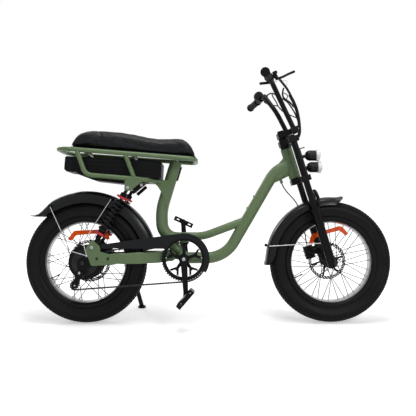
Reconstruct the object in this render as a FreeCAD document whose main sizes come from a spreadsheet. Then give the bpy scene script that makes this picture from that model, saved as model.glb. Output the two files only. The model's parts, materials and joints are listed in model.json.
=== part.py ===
import FreeCAD
import Part
import math
import os
from FreeCAD import Placement, Rotation
from FreeCAD import Vector as V

# Fat tyre electric bike, built upright in millimetres: +X forward, +Y to the rider's left,
# +Z up, with the ground point halfway between the wheels as origin. At the end each piece
# is leaned onto the side stand, the way the parked bike rests.

doc = FreeCAD.newDocument("FatTyreBike")
sheet = doc.addObject("Spreadsheet::Sheet", "sizes")

# Driving sizes: cell name, value, what it is.
SIZES = [
    ("wheelBase", 1150.0, "axle to axle"),
    ("tyreWidth", 98.0, "widest point of the tyre"),
    ("rimRadius", 203.0, "bead seat of the 20 inch rim"),
    ("tyreHeight", 82.0, "bead seat to the outside of the tread"),
    ("rimWidth", 80.0, "over both rim flanges"),
    ("rimDepth", 19.0, "bead seat to the inner face of the rim"),
    ("flangeHeight", 8.0, "rim flange above the bead seat"),
    ("spokeRadius", 1.5, "half the spoke diameter"),
    ("spokeCount", 36.0, "spokes in each wheel"),
    ("frontHubRadius", 19.0, "barrel of the front hub"),
    ("frontFlangeRadius", 31.0, "spoke flange of the front hub"),
    ("frontHubWidth", 126.0, "between the fork legs, less play"),
    ("frontDiscLine", 57.0, "front brake disc from the middle plane"),
    ("rearDiscLine", 63.0, "rear brake disc from the middle plane"),
    ("motorRadius", 71.0, "hub motor shell"),
    ("motorFlangeRadius", 81.0, "spoke flange of the hub motor"),
    ("motorWidth", 104.0, "hub motor shell along the axle"),
    ("frontDiscRadius", 90.0, "front brake disc"),
    ("rearDiscRadius", 101.0, "rear brake disc"),
    ("discThickness", 2.0, "brake disc"),
    ("axleRadius", 6.0, "both wheel axles"),
    ("runningFit", 0.08, "radial play of a shaft in its bore"),
    ("headAngle", 73.0, "steering axis from the ground"),
    ("forkOffset", 41.3, "front axle ahead of the steering axis"),
    ("legOffset", 31.0, "fork legs ahead of the steering axis"),
    ("legSpread", 84.0, "fork leg centre from the middle plane"),
    ("stanchionRadius", 15.0, "upper fork tubes"),
    ("lowerLegRadius", 20.0, "lower fork legs"),
    ("lowerLegTop", 262.0, "top of the lower legs above the axle"),
    ("crownRace", 4.0, "lower crown to the head tube"),
    ("headsetStack", 15.0, "head tube to the upper crown"),
    ("forkRoom", 90.0, "front mudguard to the lower crown"),
    ("headTubeLength", 145.0, "head tube"),
    ("headTubeRadius", 25.5, "head tube outside"),
    ("steererRadius", 14.3, "steerer tube"),
    ("crownThickness", 26.0, "both fork crowns"),
    ("clampSpacer", 14.0, "upper crown to the handlebar clamp"),
    ("barRadius", 11.5, "handlebar tube"),
    ("barSpread", 146.0, "outward bend of the handlebar from the middle plane"),
    ("barBare", 38.9, "bare bar between that bend and the switch pods"),
    ("barSweep", 14.7, "backward sweep of the grips, degrees"),
    ("barRise", 246.0, "grips above the clamp, along the steering axis"),
    ("gripRadius", 17.0, "rubber grip"),
    ("gripLength", 118.0, "rubber grip"),
    ("bracketRise", 18.0, "crank axle above the wheel axles"),
    ("pivotRoom", 126.0, "rear mudguard to the crank axle"),
    ("bracketRadius", 22.0, "bottom bracket shell"),
    ("bracketWidth", 100.0, "bottom bracket shell"),
    ("spindleRadius", 9.0, "crank axle"),
    ("crankLength", 170.0, "crank arm"),
    ("crankAngle", 3.5, "right crank ahead of straight down, degrees"),
    ("crankSpread", 98.0, "crank arm centre from the middle plane"),
    ("pedalSpread", 158.0, "pedal centre from the middle plane"),
    ("pedalLength", 98.0, "pedal along the foot"),
    ("pedalWidth", 84.0, "pedal across the foot"),
    ("chainLine", 75.0, "chain from the middle plane"),
    ("ringRadius", 105.1, "pitch radius of the 52 tooth chainring"),
    ("cogRadius", 28.0, "pitch radius of the cog the chain runs on"),
    ("largeCogRadius", 62.0, "largest cog"),
    ("chainHeight", 8.6, "chain side plates"),
    ("chainWidth", 6.2, "chain over its side plates"),
    ("mainTubeRadius", 27.0, "curved main tube"),
    ("branchRadius", 19.0, "upper branch to the seat tube"),
    ("seatTubeRadius", 28.5, "seat tube"),
    ("stayThickness", 24.0, "swingarm leg across"),
    ("staySpread", 88.0, "swingarm leg from the middle plane at the wheel"),
    ("stayHeight", 44.0, "swingarm leg at the wheel"),
    ("dropoutSpacing", 186.0, "between the dropout plates"),
    ("dropoutThickness", 8.0, "green dropout plates"),
    ("axlePlate", 6.0, "black plates that hold the rear axle"),
    ("railRadius", 10.5, "seat rails and struts"),
    ("railFrontRun", 59.0, "front end of the top rail ahead of the crank axle"),
    ("railFrontRise", 458.0, "front end of the top rail above the crank axle"),
    ("railLength", 642.9, "top rail"),
    ("railSlope", 4.4, "rise of the rails to the rear, degrees"),
    ("railFrontSpread", 92.0, "top rail from the middle plane, front"),
    ("railRearSpread", 112.0, "top rail from the middle plane, rear"),
    ("cushionHalfWidth", 98.0, "seat cushion"),
    ("batteryHalfWidth", 72.0, "battery case"),
    ("shockSpread", 84.0, "rear shock from the middle plane"),
    ("springRadius", 25.0, "outside of the shock spring"),
    ("springWire", 3.6, "half the spring wire"),
    ("rearGuardRoom", 50.0, "tread to the outside of the rear mudguard"),
    ("frontGuardRoom", 21.0, "tread to the outside of the front mudguard"),
    ("guardHalfWidth", 57.0, "mudguards"),
    ("guardSheet", 3.0, "mudguard sheet"),
    ("lampRadius", 27.0, "round lamps"),
    ("standLegRadius", 11.0, "side stand leg"),
    ("standFootRadius", 20.0, "side stand foot"),
    ("lugCount", 36.0, "raised blocks round each tyre"),
    ("lugDepth", 4.0, "grooves between the blocks"),
    ("parkedLean", 5.68, "lean onto the side stand, degrees"),
]
# Sizes that follow from those above.
FOLLOWING = [
    ("wheelRadius", "=rimRadius + tyreHeight", "outside of the tread"),
    ("guardRadius", "=wheelRadius + rearGuardRoom", "outside of the rear mudguard"),
    ("frontGuardRadius", "=wheelRadius + frontGuardRoom", "outside of the front mudguard"),
    ("bracketHeight", "=wheelRadius + bracketRise", "crank axle above the ground"),
    ("bracketRun", "=guardRadius + pivotRoom", "rear axle to crank axle"),
    ("headTubeBase", "=frontGuardRadius + forkRoom + crownThickness + crownRace", "underside of the head tube"),
]
for row, (alias, value, meaning) in enumerate(SIZES + FOLLOWING, start=1):
    sheet.set("A%d" % row, alias)
    sheet.set("B%d" % row, str(value))
    sheet.set("C%d" % row, meaning)
    sheet.setAlias("B%d" % row, alias)
doc.recompute()
size = {alias: float(sheet.get(alias)) for alias, value, meaning in SIZES + FOLLOWING}

X = V(1, 0, 0)
Y = V(0, 1, 0)
Z = V(0, 0, 1)


def bind(thing, **cells):
    # ties properties of an object to formulas on the sheet
    for prop, formula in cells.items():
        words = formula.split(" ")
        words = ["sizes." + word if word in size else word for word in words]
        thing.setExpression(prop, " ".join(words))
    return thing


def cylinder(name, radius, length, at=V(0, 0, 0), along=Z):
    piece = doc.addObject("Part::Cylinder", name)
    bind(piece, Radius=radius, Height=length)
    piece.Placement = Placement(at, Rotation(Z, along))
    return piece


def rod(name, radius, start, end):
    # a cylinder from one point to another
    piece = doc.addObject("Part::Cylinder", name)
    bind(piece, Radius=radius)
    piece.Height = (end - start).Length
    piece.Placement = Placement(start, Rotation(Z, end - start))
    return piece


def box(name, lengths, corner, turn=None):
    piece = doc.addObject("Part::Box", name)
    piece.Length, piece.Width, piece.Height = lengths
    piece.Placement = Placement(corner, turn or Rotation())
    return piece


def fuse(name, pieces):
    joined = doc.addObject("Part::MultiFuse", name)
    joined.Shapes = pieces
    joined.Refine = False
    return joined


def cut(name, base, tool):
    left = doc.addObject("Part::Cut", name)
    left.Base = base
    left.Tool = tool
    left.Refine = False
    return left


def solid(name, shape):
    piece = doc.addObject("Part::Feature", name)
    piece.Shape = shape
    return piece


def route(points, radii=None):
    # straight runs joined by tangent arcs; each arc is as large as its runs allow
    runs = [points[i + 1] - points[i] for i in range(len(points) - 1)]
    trims = [0.0] * len(points)
    for i in range(1, len(points) - 1):
        turn = runs[i - 1].getAngle(runs[i])
        room = min(runs[i - 1].Length, runs[i].Length)
        trims[i] = 0.45 * room
        if radii and radii.get(i):
            trims[i] = min(radii[i] * math.tan(turn / 2), 0.98 * room)
    for i, run in enumerate(runs):
        share = (trims[i] + trims[i + 1]) / (0.98 * run.Length)
        if share > 1:
            trims[i] /= share
            trims[i + 1] /= share
    edges = []
    start = points[0]
    for i in range(1, len(points) - 1):
        before = runs[i - 1]
        after = runs[i]
        turn = before.getAngle(after)
        if turn < 0.01:
            continue
        trim = trims[i]
        radius = trim / math.tan(turn / 2)
        first = points[i] - V(before).normalize() * trim
        last = points[i] + V(after).normalize() * trim
        inward = (V(after).normalize() - V(before).normalize()).normalize()
        middle = points[i] + inward * (radius / math.cos(turn / 2) - radius)
        if (first - start).Length > 0.01:
            edges.append(Part.LineSegment(start, first).toShape())
        edges.append(Part.Arc(first, middle, last).toShape())
        start = last
    if (points[-1] - start).Length > 0.01:
        edges.append(Part.LineSegment(start, points[-1]).toShape())
    return Part.Wire(edges)


def tube(name, points, radius, radii=None):
    # a round bar swept along a route, with its radius on the sheet
    path = solid(name + "Path", route(points, radii))
    ring = doc.addObject("Part::Circle", name + "Ring")
    bind(ring, Radius=radius)
    ring.Placement = Placement(points[0], Rotation(Z, points[1] - points[0]))
    bar = doc.addObject("Part::Sweep", name)
    bar.Sections = [ring]
    bar.Spine = (path, ["Edge%d" % (i + 1) for i in range(len(path.Shape.Edges))])
    bar.Solid = True
    bar.Frenet = False
    return bar


def sketch(body, points, plane="XY_Plane"):
    # closed outline with every corner held by its two distances from the origin
    drawing = body.newObject("Sketcher::SketchObject", body.Name + "Outline")
    origin = [f for f in body.Origin.OriginFeatures if f.Role == plane][0]
    drawing.AttachmentSupport = [(origin, "")]
    drawing.MapMode = "FlatFace"
    count = len(points)
    for i in range(count):
        a = V(points[i][0], points[i][1], 0)
        b = V(points[(i + 1) % count][0], points[(i + 1) % count][1], 0)
        drawing.addGeometry(Part.LineSegment(a, b), False)
    return drawing


def slab(name, points, depth, middle=True, round_edges=None):
    # an outline in the local XY plane padded along local Z
    body = doc.addObject("PartDesign::Body", name)
    drawing = sketch(body, points)
    pad = body.newObject("PartDesign::Pad", name + "Pad")
    pad.Profile = drawing
    bind(pad, Length=depth)
    pad.Midplane = middle
    body.Tip = pad
    return body


def revolve(name, profile, angle=None):
    # a profile of (radius, height) turned about local Z
    body = doc.addObject("PartDesign::Body", name)
    drawing = sketch(body, profile, "XZ_Plane")
    turned = body.newObject("PartDesign::Revolution", name + "Turn")
    turned.Profile = drawing
    turned.ReferenceAxis = (drawing, ["V_Axis"])
    turned.Angle = angle or 360.0
    body.Tip = turned
    return body


def side(x=0.0, y=0.0, z=0.0):
    # local XY becomes the side view (X, Z) and local Z points to the right of the bike
    return Placement(V(x, y, z), Rotation(X, 90))


def mirrored(points):
    # a half profile (radius, height) completed to the other side of height 0
    return points + [(r, -h) for r, h in reversed(points) if h > 0.001]


rear_axle = V(-size["wheelBase"] / 2, 0, size["wheelRadius"])
front_axle = V(size["wheelBase"] / 2, 0, size["wheelRadius"])
bracket = V(rear_axle.x + size["bracketRun"], 0, size["bracketHeight"])

# Steering frame: origin beside the front axle on the steering axis, local X ahead, local Z up.
rake = math.radians(90 - size["headAngle"])
steer_ahead = V(math.cos(rake), 0, math.sin(rake))
steer_up = V(-math.sin(rake), 0, math.cos(rake))
steer_base = front_axle - steer_ahead * size["forkOffset"]
STEER = Placement(steer_base, Rotation(Y, -(90 - size["headAngle"])))

# Tyre section as (radius, height from the middle plane), from the crown to the bead.
half = size["tyreWidth"] / 2
crown = size["wheelRadius"]
seat = size["rimRadius"] + 0.5
bead = size["rimWidth"] / 2 - 4.2
TYRE = [
    (crown, 10.0),
    (crown - 6.0, 30.0),
    (crown - 21.0, 0.93 * half),
    (crown - 41.0, half),
    (seat + size["flangeHeight"] + 0.8, bead),
    (seat, bead),
]

lean = math.radians(size["parkedLean"])
drop = max(h * math.sin(lean) + (r - crown) * math.cos(lean) for r, h in TYRE)
# Heights along the steering axis.
lower_crown = size["headTubeBase"] - size["crownRace"] - size["crownThickness"]
upper_crown = size["headTubeBase"] + size["headTubeLength"] + size["headsetStack"]
clamp_bottom = upper_crown + size["crownThickness"] + size["clampSpacer"]
bar_height = clamp_bottom + size["barRise"]
grip_height = steer_base.z + bar_height * math.cos(rake)
LEAN = Placement(V(0, -grip_height * math.sin(lean), drop), Rotation(X, -size["parkedLean"]))

nodes = []


def node(label, piece, place=None):
    # the finished sub-part, leaned with the whole bike
    piece.Label = label
    nodes.append((label, piece, place or Placement()))
    return piece


# Wheels. Local Z of each wheel points to the right of the bike.
def lugged_tyre(name):
    # flat facets all the way round, with a raised block and a groove taking turns
    block = mirrored(TYRE)
    groove = []
    for r, h in block:
        shoulder = r > crown - 40.0
        groove.append((r - size["lugDepth"], h * 0.96) if shoulder else (r, h))
    step = 2 * math.pi / size["lugCount"]

    def corner(point, turn):
        return V(point[0] * math.cos(turn), point[0] * math.sin(turn), point[1])

    def facet(corners):
        return Part.Face(Part.makePolygon(corners + corners[:1]))

    faces = []
    raised = [3, 2, 1, 0, 11, 10, 9, 8]
    wall = [block[i] for i in raised] + [groove[i] for i in reversed(raised[1:-1])]
    for i in range(int(size["lugCount"])):
        begin = -math.pi / 2 + i * step
        middle = begin + 0.56 * step
        for ring, a, b in ((block, begin, middle), (groove, middle, begin + step)):
            for k in range(len(ring)):
                one, two = ring[k], ring[(k + 1) % len(ring)]
                faces.append(facet([corner(one, a), corner(two, a), corner(two, b), corner(one, b)]))
        for turn in (begin, middle):
            faces.append(facet([corner(point, turn) for point in wall]))
    skin = Part.Shell(faces)
    skin.sewShape()
    return solid(name, Part.Solid(skin))


def wheel(end, axle):
    place = side(axle.x, 0, axle.z)
    node(end + "_tyre", lugged_tyre(end + "Tyre"), place)
    inner = size["rimRadius"] - size["rimDepth"]
    edge = size["rimWidth"] / 2
    lip = size["rimRadius"] + size["flangeHeight"]
    rim = [
        (inner, 0.0),
        (inner, 0.55 * edge),
        (inner + 0.35 * size["rimDepth"], 0.85 * edge),
        (inner + 0.75 * size["rimDepth"], edge),
        (lip, edge),
        (lip, edge - 3.8),
        (size["rimRadius"], edge - 3.8),
        (size["rimRadius"], 0.0),
    ]
    rim = rim[:-1] + [(r, -h) for r, h in reversed(rim[:-1]) if h > 0.001]
    node(end + "_rim", revolve(end + "Rim", rim), place)
    return place


def spokes(name, flange_radius, flange_height, cross):
    # crossed spokes from both flanges to the middle of the rim
    bars = []
    per_side = int(size["spokeCount"] / 2)
    reach = size["rimRadius"] - size["rimDepth"] - 0.8
    for flange in (1, -1):
        for i in range(per_side):
            hub_angle = 2 * math.pi * (i + (0.5 if flange < 0 else 0)) / per_side
            sweep_angle = cross * (1 if i % 2 else -1)
            a = V(flange_radius * math.cos(hub_angle), flange_radius * math.sin(hub_angle),
                  flange * (flange_height + (1.5 if i % 2 else -1.5)))
            far = hub_angle + sweep_angle
            b = V(reach * math.cos(far), reach * math.sin(far), flange * 6.0)
            bars.append(rod("%s%s%d" % (name, "R" if flange > 0 else "L", i), "spokeRadius", a, b))
    return bars


front_place = wheel("front", front_axle)
rear_place = wheel("rear", rear_axle)

hub_half = size["frontHubWidth"] / 2
flange_at = 31.0
bore = size["axleRadius"] + size["runningFit"]
disc_face = size["frontDiscLine"] - size["discThickness"] / 2
front_shell = revolve("FrontHubShell", [
    (bore, -hub_half),
    (13.0, -hub_half),
    (13.0, -disc_face),
    (24.0, -disc_face),
    (24.0, -disc_face + 4.0),
    (15.0, -disc_face + 8.0),
    (15.0, -flange_at - 6.0),
    (size["frontFlangeRadius"], -flange_at - 2.5),
    (size["frontFlangeRadius"], -flange_at + 2.5),
    (size["frontHubRadius"], -flange_at + 8.0),
    (size["frontHubRadius"], flange_at - 8.0),
    (size["frontFlangeRadius"], flange_at - 2.5),
    (size["frontFlangeRadius"], flange_at + 2.5),
    (15.0, flange_at + 6.0),
    (13.0, hub_half),
    (bore, hub_half),
])
front_hub = fuse("FrontHub", [front_shell] + spokes("FrontSpoke", size["frontFlangeRadius"] - 4.0,
                                                  flange_at, math.radians(62)))
node("front_hub", front_hub, front_place)

motor_half = size["motorWidth"] / 2
rear_face = size["rearDiscLine"] - size["discThickness"] / 2
motor_shell = revolve("MotorShell", [
    (bore, -rear_face),
    (38.0, -rear_face),
    (38.0, -motor_half - 2.0),
    (52.0, -motor_half + 8.0),
    (size["motorRadius"], -motor_half + 16.0),
    (size["motorFlangeRadius"], -motor_half + 18.0),
    (size["motorFlangeRadius"], -motor_half + 23.0),
    (size["motorRadius"], -motor_half + 25.0),
    (size["motorRadius"], motor_half - 25.0),
    (size["motorFlangeRadius"], motor_half - 23.0),
    (size["motorFlangeRadius"], motor_half - 18.0),
    (size["motorRadius"], motor_half - 16.0),
    (52.0, motor_half - 6.0),
    (30.0, motor_half),
    (bore, motor_half),
])
rear_hub = fuse("RearHub", [motor_shell] + spokes("RearSpoke", size["motorFlangeRadius"] - 4.0,
                                                motor_half - 20.5, math.radians(32)))
node("rear_hub_motor", rear_hub, rear_place)


def disc(name, radius, boss_radius):
    # brake rotor: outer band, inner ring and raked arms between them
    band = cut(name + "Band", cylinder(name + "Outer", radius, "discThickness"),
               cylinder(name + "Window", radius + " - 15", "discThickness"))
    boss = cut(name + "Boss", cylinder(name + "Centre", "%s" % boss_radius, "discThickness"),
               cylinder(name + "Bore", "%s - 9" % boss_radius, "discThickness"))
    arms = []
    length = size[radius] - 12.0 - boss_radius + 8.0
    for i in range(6):
        start = Rotation(Z, 60 * i).multVec(V(boss_radius - 6.0, -4.5, 0))
        arms.append(box("%sArm%d" % (name, i), (length, 9.0, size["discThickness"]),
                        start, Rotation(Z, 60 * i + 20)))
    return fuse(name, [band, boss] + arms)


node("front_brake_disc", disc("FrontDisc", "frontDiscRadius", 24.0),
     front_place * Placement(V(0, 0, -disc_face - size["discThickness"]), Rotation()))
node("rear_brake_disc", disc("RearDisc", "rearDiscRadius", 38.0),
     rear_place * Placement(V(0, 0, -rear_face - size["discThickness"]), Rotation()))

# Spoke reflectors: an arched band with two bent wings, in the plane of the wheel.
REFLECTOR = [(-106, 119), (-88, 123), (-72, 91), (-12, 70), (43, 56), (72, 81), (84, 71),
             (58, 37), (40, 35), (-16, 52), (-82, 71), (-90, 76)]
reflector_edge = [(x, size["rimRadius"] - depth) for x, depth in REFLECTOR]
reflector_middle = size["rimRadius"] - 83
for end, place, angle, lift, tilt in (("front", front_place, 0.0, 19.2, 9.6), ("rear", rear_place, -13.0, 25.0, 14.7)):
    band = slab(end + "Reflector", reflector_edge, "3", middle=False)
    # it lies along the slope of the spokes
    lie = Placement(V(0, reflector_middle, lift), Rotation(X, -tilt)) * Placement(V(0, -reflector_middle, 0), Rotation())
    node(end + "_reflector", band, place * Placement(V(0, 0, 0), Rotation(Z, angle)) * lie)

# Cogs on the right of the hub motor, smallest outside.
cog_steps = 6
cog_pitch = 4.4
cog_profile = [(size["axleRadius"] + 5.0, motor_half + 0.3)]
for i in range(cog_steps):
    share = 1.0 - i / (cog_steps - 1.0)
    outside = size["cogRadius"] + share * (size["largeCogRadius"] - size["cogRadius"])
    outside -= size["chainHeight"] / 2 + 0.6
    top = size["chainLine"] + 1.0 - (cog_steps - 1 - i) * cog_pitch
    cog_profile.append((outside, cog_profile[-1][1] if i == 0 else top - 2.0))
    cog_profile.append((outside, top))
    if i < cog_steps - 1:
        cog_profile.append((outside - 11.0, top))
        cog_profile.append((outside - 11.0, top + cog_pitch - 2.0))
cog_profile.append((size["axleRadius"] + 5.0, size["chainLine"] + 1.0))
node("rear_cogs", revolve("Cogs", cog_profile), rear_place)


def hex_nut(name, across, height, at):
    nut = doc.addObject("Part::Prism", name)
    nut.Polygon = 6
    nut.Circumradius = across / math.sqrt(3)
    nut.Height = height
    nut.Placement = Placement(at, Rotation())
    return nut


def axle(name, reach, nut_at):
    # a shaft along local Z with a nut outside each end plate
    shaft = cylinder(name + "Shaft", "axleRadius", str(2 * reach), V(0, 0, -reach))
    right = hex_nut(name + "NutRight", 18.0, 9.0, V(0, 0, nut_at))
    left = hex_nut(name + "NutLeft", 18.0, 9.0, V(0, 0, -nut_at - 9.0))
    return fuse(name, [shaft, right, left])


leg_outside = size["legSpread"] + size["lowerLegRadius"]
axle_plate_outside = size["dropoutSpacing"] / 2
node("front_axle", axle("FrontAxle", leg_outside + 13.0, leg_outside + 0.2), front_place)
node("rear_axle", axle("RearAxle", axle_plate_outside + 13.0, axle_plate_outside + 0.2), rear_place)


# Fork, in the steering frame: local X ahead, Y left, Z up along the steering axis.
lowers = []
stanchions = []
for s, tag in ((1, "Left"), (-1, "Right")):
    foot = V(size["legOffset"], s * size["legSpread"], -16.0)
    lowers.append(cylinder("LowerLeg" + tag, "lowerLegRadius", "lowerLegTop + 16", foot))
    collar = V(size["legOffset"], s * size["legSpread"], size["lowerLegTop"] - 14.0)
    lowers.append(cylinder("LegCollar" + tag, "lowerLegRadius + 3", "14", collar))
    stanchions.append(cylinder("Stanchion" + tag, "stanchionRadius", "%s - lowerLegTop + 60" % (upper_crown + size["crownThickness"]),
                               V(size["legOffset"], s * size["legSpread"], size["lowerLegTop"] - 60.0)))
arch_x = size["legOffset"]
arch_y = size["legSpread"]
arch_top = size["frontGuardRadius"] + 36.0
lowers.append(tube("ForkArch", [
    V(arch_x + 14, -arch_y, size["lowerLegTop"] - 7),
    V(arch_x + 31, -arch_y + 3, size["lowerLegTop"] + 36),
    V(arch_x + 33, -arch_y + 30, arch_top),
    V(arch_x + 33, arch_y - 30, arch_top),
    V(arch_x + 31, arch_y - 3, size["lowerLegTop"] + 36),
    V(arch_x + 14, arch_y, size["lowerLegTop"] - 7),
], "8"))
bores = []
for s, tag in ((1, "Left"), (-1, "Right")):
    bores.append(cylinder("LegBore" + tag, "stanchionRadius + 0.1", "120",
                          V(size["legOffset"], s * size["legSpread"], size["lowerLegTop"] - 60.2)))
bores.append(cylinder("ForkAxleBore", "axleRadius + 0.1", "300", V(size["forkOffset"], -150, 0), Y))
node("fork_lowers", cut("ForkLowers", fuse("LegsAndArch", lowers), fuse("ForkBores", bores)), STEER)
node("fork_stanchions", fuse("Stanchions", stanchions), STEER)


def crown_plate(name, back, thickness):
    # a clamp plate that reaches from the steerer out to both legs
    front = size["legOffset"] + size["stanchionRadius"] + 8.0
    out = size["legSpread"] + size["stanchionRadius"] + 8.0
    inner = size["legSpread"] - size["stanchionRadius"] - 8.0
    rear = size["legOffset"] - size["stanchionRadius"] - 8.0
    return slab(name, [(back, -22), (rear, -inner), (rear, -out), (front, -out), (front, -inner),
                       (30, -30), (30, 30), (front, inner), (front, out), (rear, out), (rear, inner),
                       (back, 22)], thickness, middle=False)


crowns = []
for name, height in (("LowerCrown", lower_crown), ("UpperCrown", upper_crown)):
    plate = crown_plate(name, -24.0, "crownThickness")
    plate.Placement = Placement(V(0, 0, height), Rotation())
    holes = [cylinder(name + "Hole" + tag, "stanchionRadius + 0.1", "60",
                      V(size["legOffset"], s * size["legSpread"], height - 10)) for s, tag in ((1, "L"), (-1, "R"))]
    crowns.append((name, height, plate, holes))

name, height, plate, holes = crowns[0]
race_top = size["headTubeBase"] - 0.3
steerer = cylinder("Steerer", "steererRadius", "%s" % (clamp_bottom + 20 - height), V(0, 0, height))
race = cylinder("CrownRace", "22", "%s" % (race_top - height), V(0, 0, height))
node("fork_lower_crown", fuse("LowerCrownAndSteerer", [cut("LowerCrownCut", plate, fuse("LowerHoles", holes)),
                                                     steerer, race]), STEER)
name, height, plate, holes = crowns[1]
head_top = size["headTubeBase"] + size["headTubeLength"]
cap = cylinder("HeadsetCap", "23", "%s" % (height - head_top - 0.3), V(0, 0, head_top + 0.3))
spacer = cylinder("ClampSpacer", "20", "%s" % (clamp_bottom - height - 0.2), V(0, 0, height))
holes.append(cylinder("UpperSteererHole", "steererRadius + 0.1", "120", V(0, 0, height - 40)))
node("fork_upper_crown", cut("UpperCrownCut", fuse("UpperCrownStack", [plate, cap, spacer]),
                             fuse("UpperHoles", holes)), STEER)

# Handlebar: twin risers from the clamp, sweeping out and back to the grips.
pod_length = 24.0
ring_length = 14.0
bar_straight = size["barBare"] + pod_length + 6.0 + ring_length + 12.0 + size["gripLength"] - 3.0
sweep = math.radians(size["barSweep"])
BAR = [
    (51.5, size["barSpread"] - 62.4, clamp_bottom - 6.0),
    (28.0, size["barSpread"] - 52.0, clamp_bottom + 0.573 * size["barRise"]),
    (2.3, size["barSpread"], bar_height + 1.0),
    (2.3 - bar_straight * math.sin(sweep), size["barSpread"] + bar_straight * math.cos(sweep), bar_height),
]
clamp_half = size["barSpread"] - 62.4
CLAMP = [(-20, 28), (34, clamp_half - 23.6), (34, clamp_half + 17.4), (66, clamp_half + 17.4), (66, clamp_half - 23.6),
         (44, 26)]
clamp = slab("BarClamp", [(x, -y) for x, y in CLAMP] + list(reversed(CLAMP)), "26", middle=False)
clamp.Placement = Placement(V(0, 0, clamp_bottom), Rotation())
bars = []
bar_holes = [cylinder("ClampSteererHole", "steererRadius + 0.1", "80", V(0, 0, clamp_bottom - 20))]
for s, tag in ((1, "Left"), (-1, "Right")):
    points = [V(f, s * y, w) for f, y, w in BAR]
    bars.append(tube("Riser" + tag, points, "barRadius", {1: 180.0, 2: 55.0}))
    along = (points[1] - points[0]).normalize()
    bar_holes.append(cylinder("RiserHole" + tag, "barRadius + 0.1", "120", points[0] - along * 30, along))
node("handlebar_clamp", cut("BarClampCut", clamp, fuse("BarHoles", bar_holes)), STEER)
node("handlebar", fuse("Handlebar", bars), STEER)

grips = []
levers = []
controls = []
for s, tag in ((1, "Left"), (-1, "Right")):
    end = V(BAR[3][0], s * BAR[3][1], BAR[3][2])
    knee = V(BAR[2][0], s * BAR[2][1], BAR[2][2])
    out = (end - knee).normalize()
    inner = end - out * (size["gripLength"] - 3.0)
    sleeve = cylinder("GripSleeve" + tag, "gripRadius", "gripLength", inner, out)
    flange = cylinder("GripFlange" + tag, "gripRadius + 3", "4", inner, out)
    cap = cylinder("GripCap" + tag, "gripRadius + 3", "6", end - out * 3, out)
    hollow = cylinder("GripBore" + tag, "barRadius + 0.1", "gripLength - 2.9", inner, out)
    grips.append(cut("Grip" + tag, fuse("GripSolid" + tag, [sleeve, flange, cap]), hollow))
    ring_at = inner - out * (ring_length + 12.0)
    ring = cylinder("LeverRing" + tag, "barRadius + 5", "%s" % ring_length, ring_at, out)
    pump_at = ring_at + out * 4 + V(28, 0, 2)
    pump = cylinder("LeverPump" + tag, "9.5", "42", pump_at - out * 30, out)
    tank = cylinder("LeverTank" + tag, "11", "10", pump_at + V(2, 0, 9), Z)
    neck = rod("LeverNeck" + tag, "7.5", ring_at + out * 7 + V(13, 0, 0), pump_at)
    pivot_arm = rod("LeverPivot" + tag, "6.5", pump_at, inner + V(35.7, s * -11.8, -16.5))
    blade = tube("LeverBlade" + tag, [
        inner + V(31.7, s * -15.8, -14.5),
        inner + V(51.7, s * 24.2, -22.5),
        inner + V(69.7, s * 62.2, -25.5),
        inner + V(87.7, s * 102.2, -31.5),
    ], "5.2")
    ring_bore = cylinder("LeverBore" + tag, "barRadius + 0.1", "40", ring_at - out * 10, out)
    levers.append(cut("Lever" + tag, fuse("LeverSolid" + tag, [ring, pump, tank, neck, pivot_arm, blade]), ring_bore))
    # switch pod inboard of the brake lever: a thumb lever on the right, the round display on the left
    pod_at = ring_at - out * (pod_length + 6.0)
    pod = cylinder("Pod" + tag, "17", "%s" % pod_length, pod_at, out)
    if s < 0:
        extra = [rod("ThumbLever", "6", pod_at + out * 6 + V(-6, 0, -14), inner + V(-38.3, 41.8, -6.5))]
    else:
        extra = [cylinder("DisplayCase", "24", "18", pod_at - out * 2 + V(-8, 0, 15), out)]
    pod_bore = cylinder("PodBore" + tag, "barRadius + 0.1", "60", pod_at - out * 18, out)
    controls.append(cut("Controls" + tag, fuse("ControlSolid" + tag, [pod] + extra), pod_bore))
node("handlebar_grips", fuse("Grips", grips), STEER)
node("brake_levers", fuse("BrakeLevers", levers), STEER)
node("bar_controls", fuse("BarControls", controls), STEER)

# Cables from both levers gather in one sleeve that runs down to the upper crown.
bundle = [
    tube("CableSleeve", [V(88, -50, 808), V(103, -28, 768), V(108, -19, 722), V(102, -17, 674), V(88, -17, 630),
                         V(64, -17, 602), V(31.8, -14, 598)], "6.5"),
    tube("CableRight", [V(19.6, -186.3, 874.8), V(34, -160, 874), V(54, -118, 856), V(76, -78, 830), V(98, -38, 786)], "4"),
    tube("CableLeft", [V(19.6, 186.3, 874.8), V(38, 156, 874), V(66, 112, 858), V(86, 62, 836), V(98, 12, 808),
                       V(106, -20, 764), V(108, -19, 730)], "3"),
]
node("handlebar_cables", fuse("HandlebarCables", bundle), STEER)

# Mudguards: a sheet arch between two angles in the side view, with turned-out lips.
def guard_section(outer, depth, deep=1.0, shift=0.0):
    w = size["guardHalfWidth"]
    t = size["guardSheet"]
    skin = [(outer, 0.0), (outer - 2, 0.45 * w), (outer - 11 * deep, 0.82 * w), (outer - depth * deep, w)]
    under = [(r - t, h) for r, h in skin[:-1]] + [(outer - depth * deep, w - t)]
    half_ring = skin + list(reversed(under))
    return [(r + shift, h) for r, h in half_ring + [(r, -h) for r, h in under[1:]] + [(r, -h) for r, h in reversed(skin[1:])]]


def lip(name, outer, depth, steps):
    # straight-sided sheet that carries the arch on past its end: (angle, outward shift, skirt depth)
    wires = []
    for angle, shift, deep in steps:
        turn = math.radians(angle)
        corners = [V(r * math.cos(turn), r * math.sin(turn), h) for r, h in guard_section(outer, depth, deep, shift)]
        wires.append(Part.makePolygon(corners + corners[:1]))
    return solid(name, Part.makeLoft(wires, True, True))


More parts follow.
